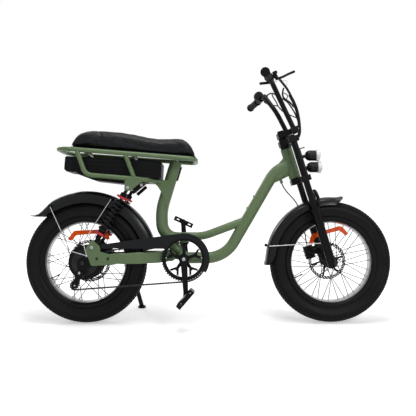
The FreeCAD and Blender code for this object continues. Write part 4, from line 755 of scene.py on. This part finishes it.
def linkMesh(name, width):
    # two waisted side plates and two pins, along local X, the pins along local Z
    half = chain["pitch"] / 2
    thick = chain["thick"]
    reach, waist = chain["plate"]
    outline = []
    for end in (1, -1):
        for k in range(7):
            angle = -math.pi / 2 + math.pi * k / 6
            outline.append((end * (half + reach * math.cos(angle)), end * reach * math.sin(angle)))
        outline.append((0.0, end * waist))
    plates = [slab(outline, side * width / 2, thick) for side in (1, -1)]
    pins = [slab([(x + middle, y) for x, y in circle(chain["pin"], 8)], 0, width + thick * 0.6)
            for middle in (-half, half)]
    return joined(name, plates + pins)


def makeChain():
    points = chainPath()
    length = sum((points[(i + 1) % len(points)] - points[i]).length for i in range(len(points)))
    path = pathObject("ChainPath", points, cyclic=True)
    inner = hidden("InnerLink", linkMesh("InnerLink", chain["inner"]))
    outer = hidden("OuterLink", linkMesh("OuterLink", chain["outer"]))
    count = 2 * round(length / chain["pitch"] / 2)
    mesh = grown("ChainLinks", "path", {
        "Path": path, "Item": inner, "Other item": outer, "Count": count, "Material": materials["darkSteel"]})
    for item in (inner, outer, path):
        clean(item)
    piece = meshObject("drive_chain_links", mesh, cranks @ moved((0, 0, chain["line"])), smooth=35)
    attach(piece, "frame")
    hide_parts("chain")
    print("chain of", count, "links")


makeChain()


# shock springs
shock = {
    "lowEye": (-0.533, 0.357),
    "highEye": (-0.305, -0.1548),
    "spread": 0.084,
    "lowSeat": 0.078,
    "highSeat": 0.058,
    "outside": 0.025,
    "wire": 0.0036,
    "turns": 8.5,
}


def makeSprings():
    meshes = []
    ahead, up = shock["highEye"]
    for side in (1, -1):
        low = leaned @ Vector((shock["lowEye"][0], side * shock["spread"], shock["lowEye"][1]))
        top = leaned @ (leaned.inverted() @ (rack @ Vector((ahead, 0, up))) + Vector((0, side * shock["spread"], 0)))
        span = top - low
        length = span.length - shock["lowSeat"] - shock["highSeat"] - 2 * shock["wire"]
        mesh = grown("Coil", "coil", {
            "Turns": shock["turns"], "Radius": shock["outside"] - shock["wire"], "Length": length,
            "Wire": shock["wire"], "Material": materials["spring"]})
        lie = span.to_track_quat("Z", "Y").to_matrix().to_4x4()
        lie.translation = low + span.normalized() * (shock["lowSeat"] + shock["wire"])
        mesh.transform(lie)
        meshes.append(mesh)
    piece = meshObject("rear_shock_coils", joined("Coils", meshes), None, smooth=60)
    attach(piece, "frame")
    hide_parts("rear_shock_springs")


makeSprings()
print("springs made")


# front brake hose, in the steering frame from the frame's port down to the caliper
hose = {
    "points": [(-0.0665, 0, 0.420), (-0.063, 0.004, 0.398), (-0.0487, 0.020, 0.367), (-0.0214, 0.050, 0.324),
               (-0.012, 0.064, 0.286), (-0.010, 0.066, 0.240), (-0.014, 0.064, 0.190), (-0.024, 0.060, 0.140),
               (-0.030, 0.057, 0.097)],
    "radius": 0.0028,
    "bendEnd": (-0.012, 0.064, 0.286),
}


def softened(points, rounds):
    # corners cut back again and again until the line is smooth
    points = [Vector(point) for point in points]
    for step in range(rounds):
        softer = [points[0]]
        for first, second in zip(points, points[1:]):
            softer += [first.lerp(second, 0.25), first.lerp(second, 0.75)]
        points = softer + [points[-1]]
    return points


def tubeMesh(name, points, radius, look):
    path = pathObject(name + "Path", points)
    mesh = grown(name, "tube", {"Path": path, "Radius": radius, "Material": materials[look]})
    clean(path)
    return mesh


def makeHose():
    points = softened(hose["points"], 3)
    piece = meshObject("brake_hose", tubeMesh("BrakeHose", points, hose["radius"], "cable"), steering, smooth=60)
    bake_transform(piece)
    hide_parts("front_brake_hose")


makeHose()
print("hose made")


# cables at the bars, in the steering frame: points, radius, finish
strands = {
    "sleeve": ([(0.084, -0.052, 0.806), (0.0965, -0.034, 0.768), (0.1015, -0.022, 0.728), (0.0985, -0.017, 0.690),
                (0.090, -0.017, 0.646), (0.078, -0.017, 0.614), (0.056, -0.016, 0.600), (0.0318, -0.014, 0.598)],
               0.0078, "cable"),
    "right": ([(0.0196, -0.1863, 0.8748), (0.034, -0.160, 0.874), (0.054, -0.118, 0.856), (0.076, -0.078, 0.830),
               (0.0945, -0.040, 0.780), (0.1005, -0.024, 0.736)], 0.0056, "cable"),
    "left": ([(0.0196, 0.1863, 0.8748), (0.0289, 0.176, 0.8817), (0.0435, 0.140, 0.8762), (0.052, 0.100, 0.8535),
              (0.0578, 0.070, 0.8305), (0.0689, 0.040, 0.8121), (0.0785, 0.014, 0.7882), (0.0849, -0.006, 0.7523),
              (0.0915, -0.016, 0.7148), (0.0928, -0.017, 0.670)], 0.0036, "cable"),
    "drop": ([(0.0225, 0.183, 0.873), (0.0197, 0.170, 0.8584), (0.0125, 0.150, 0.8292), (0.0152, 0.120, 0.8074),
              (0.0307, 0.090, 0.8033), (0.0407, 0.060, 0.7869), (0.0431, 0.034, 0.7591), (0.0600, 0.008, 0.7310),
              (0.0900, -0.012, 0.7000)], 0.0027, "cable"),
    "tangle": ([(0.0435, 0.140, 0.8762), (0.0394, 0.130, 0.8560), (0.0421, 0.096, 0.8207), (0.0388, 0.064, 0.7884),
                (0.0424, 0.040, 0.7649), (0.0480, 0.028, 0.7500)], 0.0030, "cable"),
    "plug": ([(0.0821, 0.020, 0.8591), (0.0683, 0.016, 0.8382), (0.0639, 0.012, 0.8153), (0.0748, 0.004, 0.7949),
              (0.0837, 0.000, 0.7854), (0.0940, -0.018, 0.7500)], 0.0042, "cable"),
    "hook": ([(0.0683, 0.016, 0.8382), (0.0819, 0.010, 0.8283), (0.0869, 0.004, 0.8139), (0.0758, 0.000, 0.8004),
              (0.0649, 0.008, 0.7950)], 0.0024, "cable"),
    "holder": ([(0.0200, -0.150, 0.8700), (0.0163, -0.120, 0.8687), (0.0399, -0.112, 0.8717),
                (0.0853, -0.092, 0.8659), (0.0781, -0.084, 0.8516), (0.0700, -0.088, 0.8360)], 0.0012, "steel"),
}


def makeCables():
    parts = []
    for name, (points, radius, look) in strands.items():
        rounds = 1 if name == "holder" else 3
        parts.append(tubeMesh(name, softened(points, rounds), radius, look))
    piece = meshObject("bar_cables", joined("BarCables", parts), steering, smooth=60)
    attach(piece, "steering")
    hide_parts("handlebar_cables")


makeCables()
print("cables made")


# mudguards, about each axle: angle up from ahead, outer radius, skirt depth
guards = {
    "rear": [(11, 0.3350, 0.058), (96, 0.3350, 0.058), (108, 0.3335, 0.058), (117, 0.3310, 0.056),
             (121, 0.3285, 0.050), (125, 0.3240, 0.042), (130, 0.3192, 0.033), (134, 0.3188, 0.024),
             (137, 0.3260, 0.014), (139.2, 0.3370, 0.006)],
    "front": [(80.4, 0.3140, 0.014), (83.0, 0.3085, 0.028), (86.0, 0.3060, 0.040), (173.0, 0.3060, 0.040),
              (178.0, 0.3075, 0.032), (182.5, 0.3140, 0.022)],
    "halfWidth": 0.057,
    "sheet": 0.0022,
    # the sheet's section: drop from its crown, share of the half width, whether the drop grows with the skirt
    "section": [(0.0, 0.0, False), (0.0006, 0.22, False), (0.002, 0.45, False), (0.0054, 0.66, True),
                (0.011, 0.82, True), (0.019, 0.93, True)],
    # skirt depth from which the drop is whole, and the least drop at the side
    "skirt": (0.040, 0.024),
    "step": 2.0,
    "bodies": {"rear": "frame", "front": "steering"},
}


def guardRing(radius, depth):
    # a section of the sheet, crowned over the tyre and turned down at its sides
    half = guards["halfWidth"]
    sheet = guards["sheet"]
    whole, least = guards["skirt"]
    curl = min(1.0, depth / whole)
    skin = [(radius - drop * (curl if grows else 1.0), share * half) for drop, share, grows in guards["section"]]
    skin.append((radius - max(depth, least * curl), half))
    under = [(r - sheet, h) for r, h in skin[:-1]] + [(skin[-1][0], half - sheet)]
    ring = skin + list(reversed(under)) + [(r, -h) for r, h in under[1:]]
    return ring + [(r, -h) for r, h in reversed(skin[1:])]


def makeGuard(end, place):
    rows = guards[end]
    rings = []
    for (a1, r1, d1), (a2, r2, d2) in zip(rows, rows[1:]):
        count = max(1, round((a2 - a1) / guards["step"]))
        for k in range(count + (1 if a2 == rows[-1][0] else 0)):
            share = k / count
            turn = math.radians(a1 + (a2 - a1) * share)
            rings.append([(r * math.cos(turn), r * math.sin(turn), h)
                          for r, h in guardRing(r1 + (r2 - r1) * share, d1 + (d2 - d1) * share)])
    piece = meshObject(end + "_guard", stacked("Guard", rings), place, smooth=40)
    piece.data.materials.append(materials["mudguardPlastic"])
    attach(piece, guards["bodies"][end])
    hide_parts(end + "_mudguard")


for end, place in wheels:
    makeGuard(end, place)
print("mudguards made")


# mudguard stays, upright, right and left alike: bent wires and the clip at each outer end
stays = {
    "rear": {
        "wires": [[(-0.7366, 0.0600, 0.5474), (-0.6349, 0.0880, 0.3410), (-0.5550, 0.1035, 0.3190)],
                  [(-0.4505, 0.0600, 0.5830), (-0.5724, 0.1000, 0.3800), (-0.5550, 0.1035, 0.3190)]],
        "radius": 0.0020,
        "body": "frame",
    },
    "front": {
        "wires": [[(0.2790, 0.0600, 0.3600), (0.5180, 0.0810, 0.3750)]],
        "radius": 0.0022,
        "body": "steering",
    },
    # radius of a clip and half its height, how far it lies inside the wire's end, and how much of a bend is cut
    "clip": (0.0075, 0.003),
    "clipIn": 0.001,
    "cut": 0.012,
}


def bentWire(points, cut):
    # each inner corner taken off by a short curve
    line = [points[0]]
    for before, corner, after in zip(points, points[1:], points[2:]):
        start = corner + (before - corner).normalized() * cut
        end = corner + (after - corner).normalized() * cut
        for step in range(7):
            share = step / 6
            line.append(start.lerp(corner, share).lerp(corner.lerp(end, share), share))
    return line + [points[-1]]


def makeStays(end):
    row = stays[end]
    radius, half = stays["clip"]
    parts = []
    for side in (1, -1):
        for wire in row["wires"]:
            points = [Vector((x, side * y, z)) for x, y, z in wire]
            parts.append(tubeMesh("Wire", bentWire(points, stays["cut"]), row["radius"], "steel"))
            clip = lathe("Clip", [(0, -half), (radius, -half), (radius, half), (0, half)], 20)
            clip.materials.append(materials["blackPaint"])
            clip.transform(moved(points[0] - Vector((0, side * stays["clipIn"], 0))) @ facing)
            parts.append(clip)
    piece = meshObject(end + "_stays", joined("Stays", parts), leaned, smooth=40)
    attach(piece, row["body"])
    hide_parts(end + "_mudguard_stays")


for end, place in wheels:
    makeStays(end)
print("stays made")


# teeth of the chainring, the cogs and the jockey wheels
teeth = {
    "pitch": 0.0127,
    "rise": 0.0060,
    "thick": 0.0020,
    # each wheel's middle, its radius below the teeth, and its plate's distance to the right of the middle plane
    "ring": [((0, 0), 0.0998, 0.075)],
    "cogs": [((0, 0), 0.0568, 0.0531), ((0, 0), 0.0500, 0.0574), ((0, 0), 0.0432, 0.0618),
             ((0, 0), 0.0364, 0.0662), ((0, 0), 0.0296, 0.0706), ((0, 0), 0.0228, 0.0750)],
    "jockeys": [((-0.484, -0.072), 0.0128, 0.075), ((-0.500, -0.121), 0.0148, 0.075)],
    # length of a tooth's foot, how much its tip is pulled in, how far the foot sinks, and the pitch line's height
    "foot": 0.0066,
    "inset": 0.0019,
    "sink": 0.0004,
    "pitchLine": 0.0052,
}


def toothRow(name, radius, height, look):
    tooth = hidden("Tooth", block("Tooth", (teeth["foot"], teeth["thick"]), teeth["inset"], teeth["rise"]))
    count = round(2 * math.pi * (radius + teeth["pitchLine"]) / teeth["pitch"])
    mesh = grown(name, "ring", {"Item": tooth, "Count": count, "Radius": radius - teeth["sink"], "Height": height,
                                "Phase": 0.0, "Tip": 0.0, "Twist": 0.0, "Material": materials[look]})
    clean(tooth)
    return mesh


def makeTeeth(name, rows, look, place, body):
    # rows of teeth: the wheel's own place, its radius, its height
    parts = []
    for (ahead, up), radius, height in rows:
        part = toothRow("Teeth", radius, height, look)
        part.transform(moved((ahead, up, 0)))
        parts.append(part)
    piece = meshObject(name, joined("Teeth", parts), place)
    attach(piece, body)


makeTeeth("chainring_teeth", teeth["ring"], "blackAlloy", cranks, "crankset")
makeTeeth("cog_teeth", teeth["cogs"], "darkSteel", rearWheel, "rear_wheel")
makeTeeth("jockey_teeth", teeth["jockeys"], "plastic", cranks, "frame")
print("teeth made")


# spoke nipples and valves
nipple = {
    "count": 9,
    "radius": 0.1838,
    "height": 0.006,
    # each stack of rings: distance inward, radius
    "rings": [(-0.0016, 0.00299), (0.001, 0.00299), (0.0014, 0.0023), (0.010, 0.00184)],
    "valve": [(-0.002, 0.0042), (0.004, 0.0042), (0.005, 0.0026), (0.030, 0.0024), (0.0302, 0.0034),
              (0.040, 0.0034), (0.041, 0.0022)],
    "valveAngle": 205,
    # start of each row of nine as a share of 40 degrees: right side twice, then left side twice
    "front": [(0.45, 1), (0.05, 1), (0.70, -1), (0.30, -1)],
    "rear": [(0.20, 1), (0.30, 1), (0.45, -1), (0.55, -1)],
}


def stem(name, rings, sides):
    # a stack of rings along local -X
    return stacked(name, [[(-inward, y, z) for y, z in circle(radius, sides)] for inward, radius in rings])


def makeNipples(end, place):
    item = hidden("Nipple", stem("Nipple", nipple["rings"], 8))
    rows = [grown("NippleRow", "ring", {
        "Item": item, "Count": nipple["count"], "Radius": nipple["radius"], "Height": side * nipple["height"],
        "Phase": start, "Tip": 0.0, "Twist": 0.0, "Material": materials["boltSteel"]})
        for start, side in nipple[end]]
    clean(item)
    valve = stem("Valve", nipple["valve"], 12)
    valve.materials.append(materials["rubber"])
    valve.transform(turned(nipple["valveAngle"], "Z") @ moved((nipple["radius"], 0, 0)))
    piece = meshObject(end + "_nipples", joined("Nipples", rows + [valve]), place, smooth=40)
    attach(piece, end + "_wheel")


for end, place in wheels:
    makeNipples(end, place)
print("nipples made")


# screws by body: finish, axis, whether right and left are alike, then each one's place and its head's radius
def boltCircle(radius, height, size, angles):
    return [(radius * math.cos(angle), radius * math.sin(angle), height, size) for angle in angles]


# chainring bolts stand in pairs about the five arms
ringAngles = [math.radians(72 * arm + 90) + side * 0.260 for arm in range(5) for side in (-1, 1)]
discAngles = [math.radians(60 * turn + 12) for turn in range(6)]
screws = {
    "frame": [
        ("boltSteel", (0, 1, 0), True, [
            (-0.533, 0.1032, 0.357, 0.0075),      # lower shock eyes
            (-0.371, 0.0982, 0.630, 0.0080),      # upper shock eyes
            (-0.3085, 0.0930, 0.642, 0.0065),     # braces
            (-0.555, 0.1060, 0.319, 0.0050)]),    # mudguard stays
        ("boltSteel", (-0.8645, 0, 0.5026), False, [   # main tube
            (0.1816, 0, 0.5406, 0.0045), (0.2138, 0, 0.5960, 0.0045)]),
        ("boltSteel", (0, -1, 0), False, [        # derailleur
            (-0.588, -0.1053, 0.241, 0.0055), (-0.598, -0.0826, 0.231, 0.0042),
            (-0.614, -0.0826, 0.182, 0.0042)]),
        ("blackAlloy", (0, 1, 0), True, [
            (-0.176, 0.0582, 0.315, 0.0095),      # swingarm pivot
            (-0.7366, 0.0615, 0.5474, 0.0045),    # mudguard
            (-0.4505, 0.0615, 0.5830, 0.0045)]),
        ("blackAlloy", (0, -1, 0), False, [       # chain guard
            (-0.500, -0.0851, 0.360, 0.0050), (-0.059, -0.0851, 0.402, 0.0050)]),
        ("blackAlloy", (0, 1, 0), False, [(-0.482, 0.0985, 0.321, 0.0045)]),   # rear caliper
    ],
    "steering": [
        ("boltSteel", (1, 0, 0), True, [
            (0.066, 0.072, 0.639, 0.0040),        # handlebar clamp
            (0.066, 0.096, 0.639, 0.0040),
            (0.054, 0.084, 0.599, 0.0040),        # crowns
            (0.054, 0.084, 0.409, 0.0040)]),
        ("boltSteel", (-1, 0, 0), True, [(-0.020, 0.012, 0.639, 0.0040)]),
        ("boltSteel", (0, 1, 0), False, [         # caliper
            (0.001, 0.0742, 0.055, 0.0045), (0.001, 0.0742, 0.078, 0.0045)]),
        ("blackAlloy", (0, 0, 1), True, [(0.031, 0.084, 0.6122, 0.0120)]),     # fork caps
        ("blackAlloy", (0, 0, 1), False, [(0, 0, 0.6525, 0.0165)]),            # headset cap
    ],
    "crankset": [
        ("boltSteel", (0, 0, 1), False, [(0, 0, 0.1052, 0.0080), *boltCircle(0.0815, 0.0771, 0.0036, ringAngles)]),
        ("boltSteel", (0, 0, -1), False, [(0, 0, -0.1052, 0.0080)]),
    ],
    "front_wheel": [("boltSteel", (0, 0, -1), False, boltCircle(0.0195, -0.0581, 0.0034, discAngles))],
    "rear_wheel": [("boltSteel", (0, 0, -1), False, boltCircle(0.0335, -0.0641, 0.0034, discAngles))],
}
screwPlaces = {"frame": leaned, "steering": steering, "crankset": cranks, "front_wheel": frontWheel,
               "rear_wheel": rearWheel}
# a round head of radius 1 with a hexagon socket: radius and height of each ring, whether it has six corners
screwHead = [(1.0, 0.0, False), (1.0, 0.42, False), (0.86, 0.56, False), (0.52, 0.56, True), (0.52, 0.20, True)]


def screwMesh():
    rings = []
    for radius, height, six in screwHead:
        flats = (radius, radius * math.cos(math.pi / 6) if six else radius)
        rings.append([(flats[k % 2] * x, flats[k % 2] * y, height) for k, (x, y) in enumerate(circle(1.0, 12))])
    return stacked("Screw", rings)


def makeScrews(body, item):
    parts = []
    for look, axis, both, rows in screws[body]:
        spots = [(place, size, axis) for *place, size in rows]
        if both:
            spots += [((x, -y, z), size, (axis[0], -axis[1], axis[2])) for x, y, z, size in rows]
        mesh = bpy.data.meshes.new("Spots")
        mesh.from_pydata([place for place, size, way in spots], [], [])
        mesh.attributes.new("axis", "FLOAT_VECTOR", "POINT")
        mesh.attributes.new("size", "FLOAT", "POINT")
        for i, (place, size, way) in enumerate(spots):
            mesh.attributes["axis"].data[i].vector = way
            mesh.attributes["size"].data[i].value = size
        carrier = hidden("Spots", mesh)
        parts.append(grown("Screws", "screws", {"Spots": carrier, "Item": item, "Material": materials[look]}))
        clean(carrier)
    piece = meshObject(body + "_screws", joined("Screws", parts), screwPlaces[body], smooth=30)
    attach(piece, body)


screw = hidden("Screw", screwMesh())
for body in screws:
    makeScrews(body, screw)
clean(screw)
print("screws made")


# finishes on the CAD nodes
def wheelSpace(tree, where, place):
    # radius and angle about a wheel's axle, and the grain on the wheel's own coordinates
    back = place.inverted()
    local = addNode(tree, "ShaderNodeMapping", {
        "Vector": where, "Location": back.translation, "Rotation": back.to_euler()}).outputs[0]
    return groupNode(tree, "radius", {0: local}), groupNode(tree, "grain", {"Vector": local})


# rims and hubs: finishes inside and outside a split at a distance from the axle, and the start of the rims'
# bright bed
rim = {"split": 0.1885, "bed": 0.1835, "colors": ((0.006, 0.006, 0.0066), (0.006, 0.006, 0.0068)),
       "metal": (0.0, 0.0), "rough": (0.34, 0.32)}
wheelLooks = {
    "frontRim": ("front_rim", frontWheel, rim),
    "rearRim": ("rear_rim", rearWheel, rim),
    "frontHub": ("front_hub", frontWheel, {
        "split": 0.034, "colors": ((0.007, 0.007, 0.008), (0.012, 0.012, 0.013)),
        "metal": (0.0, 0.2), "rough": (0.35, 0.3)}),
    "rearHub": ("rear_hub_motor", rearWheel, {
        "split": 0.088, "colors": ((0.005, 0.005, 0.006), (0.010, 0.010, 0.011)),
        "metal": (0.0, 0.2), "rough": (0.38, 0.3)}),
}
feather = 0.0007   # half the width over which one finish turns into the next


def wheelMaterial(name, place, look):
    material, tree, shader, where = newMaterial(name)
    polar, grain = wheelSpace(tree, where, place)
    share = rangeNode(tree, polar["Radius"], look["split"] - feather, look["split"] + feather)
    inner, outer = look["colors"]
    color = mixColor(tree, share, driftColor(tree, grain["Drift"], inner, 0.88, 1.1),
                     driftColor(tree, grain["Drift"], outer, 0.85, 1.15))
    metal = rangeNode(tree, share, 0.0, 1.0, *look["metal"])
    if "bed" in look:
        near = rangeNode(tree, polar["Radius"], look["bed"] - feather, look["bed"] + feather)
        strip = mathNode(tree, "MULTIPLY", near, mathNode(tree, "SUBTRACT", 1.0, share))
        color = mixColor(tree, strip, color, (0.58, 0.58, 0.59))
        metal = mathNode(tree, "MAXIMUM", metal, mathNode(tree, "MULTIPLY", strip, 0.85))
    feed(tree, shader, {
        "Base Color": color,
        "Roughness": rangeNode(tree, share, 0.0, 1.0, *look["rough"]),
        "Metallic": metal,
        "Normal": bumpNode(tree, grain["Height"], 0.08, 0.0003),
        "Specular IOR Level": 0.1})
    return material


nodeFinish = {
    "greenPaint": ["main_frame", "seat_rails", "swingarm", "cable_port"],
    "blackAlloy": ["crank_arms", "chainring", "fork_lower_crown", "fork_upper_crown", "handlebar_clamp",
                   "front_caliper", "rear_caliper", "brake_levers", "rear_derailleur", "rear_axle_plates",
                   "stand_bracket", "mudguard_bracket"],
    "blackPaint": ["handlebar", "rear_shock_dampers", "side_stand", "pedal_left", "pedal_right", "shock_brace"],
    "legGloss": ["fork_lowers", "fork_stanchions"],
    "plastic": ["battery_tray", "seat_pan", "bar_controls", "seat_tube_strip"],
    "guardPlastic": ["chain_guard"],
    "rubber": ["handlebar_grips"],
    "darkSteel": ["rear_cogs", "front_axle", "rear_axle", "dropout_bolts"],
    "redRing": ["rear_shock_collars"],
    "reflectorOrange": ["front_reflector", "rear_reflector"],
}


def repaint(name, material):
    piece = frame["nodes"][name]
    for slot in piece.material_slots:
        slot.material = material
    if not piece.material_slots:
        piece.data.materials.append(material)


for look, names in nodeFinish.items():
    for name in names:
        repaint(name, materials[look])
for name, (node, place, look) in wheelLooks.items():
    repaint(node, wheelMaterial(name, place, look))


# battery case: shallow grooves along its sides, in the rack's frame
grooves = {"pitch": 0.0185, "share": 0.16, "depth": 0.0012}


def grooveMaterial():
    material, tree, shader, where = newMaterial("batteryPlastic", materials["plastic"])
    upright = addNode(tree, "ShaderNodeVectorRotate", {
        "Vector": where, "Angle": -math.radians(places["rackRise"])}, rotation_type="Y_AXIS").outputs[0]
    row = mathNode(tree, "FRACT", mathNode(tree, "DIVIDE", apart(tree, upright)["Z"], grooves["pitch"]))
    off = mathNode(tree, "ABSOLUTE", mathNode(tree, "SUBTRACT", row, 0.5))
    flat = rangeNode(tree, off, grooves["share"] * 0.3, grooves["share"] * 0.7)
    before = shader["Normal"].links[0].from_socket
    feed(tree, shader, {"Normal": bumpNode(tree, flat, 1.0, grooves["depth"], Normal=before)})
    return material


repaint("battery_case", grooveMaterial())


brakeDisc = {
    "holes": 36,
    "holeRadius": 0.0019,
    # depth of each row of holes below the outside, and its turn as a share of the step
    "rows": [(0.0032, 0.0), (0.0072, 0.33), (0.0112, 0.66)],
    # where the band that the pads rub starts, below the outside
    "band": (0.0155, 0.0145),
    # outside radius
    "front": 0.090,
    "rear": 0.101,
}


def discMaterial(end, place):
    # dark steel, brighter where the pads rub, drilled through in slanting rows
    material, tree, shader, where = newMaterial(end + "Disc")
    polar, grain = wheelSpace(tree, where, place)
    outside = brakeDisc[end]
    drilled = None
    step = 2 * math.pi / brakeDisc["holes"]
    for depth, turn in brakeDisc["rows"]:
        radius = outside - depth
        share = mathNode(tree, "ADD", mathNode(tree, "DIVIDE", polar["Angle"], step), 100.0 + turn)
        off = mathNode(tree, "MULTIPLY", mathNode(tree, "SUBTRACT", mathNode(tree, "FRACT", share), 0.5),
                       step * radius)
        away = mathNode(tree, "SUBTRACT", polar["Radius"], radius)
        hole = mathNode(tree, "LESS_THAN", lengthNode(tree, off, away), brakeDisc["holeRadius"])
        drilled = hole if drilled is None else mathNode(tree, "MAXIMUM", drilled, hole)
    band = rangeNode(tree, polar["Radius"], *[outside - depth for depth in brakeDisc["band"]])
    rubbed = mixColor(tree, grain["Drift"], (0.022, 0.022, 0.023), (0.040, 0.040, 0.042))
    feed(tree, shader, {
        "Base Color": mixColor(tree, band, (0.008, 0.008, 0.009), rubbed),
        "Roughness": rangeNode(tree, band, 0.0, 1.0, 0.42, 0.30),
        "Metallic": 0.9,
        "Alpha": mathNode(tree, "SUBTRACT", 1.0, drilled)})
    return material


for end, place in wheels:
    repaint(end + "_brake_disc", discMaterial(end, place))


def lensMaterial():
    material, tree, shader, where = newMaterial("lampLens")
    grain = groupNode(tree, "grain", {"Vector": where})
    feed(tree, shader, {
        "Base Color": mixColor(tree, grain["Drift"], (0.86, 0.88, 0.90), (0.96, 0.97, 0.98)),
        "Roughness": 0.04,
        "Transmission Weight": 0.9,
        "IOR": 1.45})
    return material


repaint("headlight_lenses", lensMaterial())


# the lamps' clear front bowls, upright: height between the lamps, start of each bowl, depth of its soft edge
lampBowl = {"between": 0.761, "upper": 0.5115, "lower": 0.5195, "edge": 0.0015}


def lampMaterial():
    # black shells whose front rings carry a painted reflection: white where they face the view, dark towards their
    # grazing edge
    material, tree, shader, where = newMaterial("lampBody", materials["lampShell"])
    spot = apart(tree, where)
    upper = mathNode(tree, "GREATER_THAN", spot["Z"], lampBowl["between"])
    start = mathNode(tree, "SUBTRACT", lampBowl["lower"],
                     mathNode(tree, "MULTIPLY", upper, lampBowl["lower"] - lampBowl["upper"]))
    bowl = rangeNode(tree, mathNode(tree, "SUBTRACT", spot["X"], start), -lampBowl["edge"], lampBowl["edge"])
    rimmed = addNode(tree, "ShaderNodeLayerWeight", {"Blend": 0.5}).outputs["Facing"]
    # painted reflection: white base colour on the bowl, fading to near black as the surface turns edge-on to the
    # view
    paintedBowlReflection = mixColor(tree, rangeNode(tree, rimmed, 0.62, 0.86), (0.86, 0.87, 0.88), (0.05, 0.05, 0.055))
    black = shader["Base Color"].links[0].from_socket
    feed(tree, shader, {"Base Color": mixColor(tree, bowl, black, paintedBowlReflection)})
    return material


repaint("headlight", lampMaterial())
print("nodes painted")


# floor, light and camera
studio = {
    "floorColor": (0.90, 0.90, 0.90),
    # how much white the floor gives out near the bike and away from it, and where it changes
    "floorLift": (0.46, 0.82),
    "liftReach": (0.95, 1.8),
    "worldLight": 0.25,
    "floorReach": 30.0,
    "lamps": [
        # name, place, aim, size, strength
        ("overhead", (0.1, -0.4, 3.4), (0, 0, 0.4), 1.7, 60.0),
        ("front", (1.6, -2.7, 2.3), (0.1, 0, 0.5), 0.7, 32.0),
        ("back", (-1.8, 2.2, 2.0), (0, 0, 0.6), 1.0, 18.0),
    ],
}
photoView = {
    "eye": (-0.018917, -2.57891, 0.72592),
    "pitch": 4.273,
    "yaw": 0.368,
    "lens": 46.032,
    "sensor": 36.0,
    "farthest": 100.0,
}


def whiteSeen(tree):
    # 1 for the rays that see the white of the picture
    rays = addNode(tree, "ShaderNodeLightPath").outputs
    return mathNode(tree, "MAXIMUM", rays["Is Camera Ray"],
                    mathNode(tree, "MAXIMUM", rays["Is Glossy Ray"], rays["Is Transmission Ray"]))


def makeFloor():
    mesh = bpy.data.meshes.new("Floor")
    reach = studio["floorReach"]
    mesh.from_pydata([(-reach, -reach, 0), (reach, -reach, 0), (reach, reach, 0), (-reach, reach, 0)], [],
                     [(0, 1, 2, 3)])
    floor = linked("studio_floor", mesh)
    material, tree, shader, where = newMaterial("studioFloor")
    away = addNode(tree, "ShaderNodeVectorMath", {0: where}, operation="LENGTH").outputs["Value"]
    lift = rangeNode(tree, away, *studio["liftReach"], *studio["floorLift"])
    feed(tree, shader, {
        "Base Color": (*studio["floorColor"], 1),
        "Roughness": 0.9,
        "Specular IOR Level": 0.1,
        "Emission Color": (1, 1, 1, 1),
        "Emission Strength": mathNode(tree, "MULTIPLY", whiteSeen(tree), lift)})
    mesh.materials.append(material)


def makeWorld():
    world = bpy.data.worlds.new("Studio")
    bpy.context.scene.world = world
    world.use_nodes = True
    tree = world.node_tree
    light = rangeNode(tree, whiteSeen(tree), 0.0, 1.0, studio["worldLight"], 1.0)
    feed(tree, tree.nodes["Background"].inputs, {"Color": (1, 1, 1, 1), "Strength": light})


def makeLamps():
    for name, place, aim, reach, strength in studio["lamps"]:
        light = bpy.data.lights.new(name, "AREA")
        light.energy = strength
        light.size = reach
        lamp = linked("lamp_" + name, light)
        lamp.location = place
        lamp.rotation_euler = (Vector(aim) - Vector(place)).to_track_quat("-Z", "Y").to_euler()


def makeCamera():
    view = bpy.data.cameras.new("Photo")
    view.lens = photoView["lens"]
    view.sensor_width = photoView["sensor"]
    view.clip_end = photoView["farthest"]
    camera = linked("photo_camera", view)
    camera.location = photoView["eye"]
    camera.rotation_euler = (math.radians(90 - photoView["pitch"]), 0, -math.radians(photoView["yaw"]))
    bpy.context.scene.camera = camera


makeFloor()
makeWorld()
makeLamps()
makeCamera()
bpy.context.scene.view_settings.view_transform = "Standard"
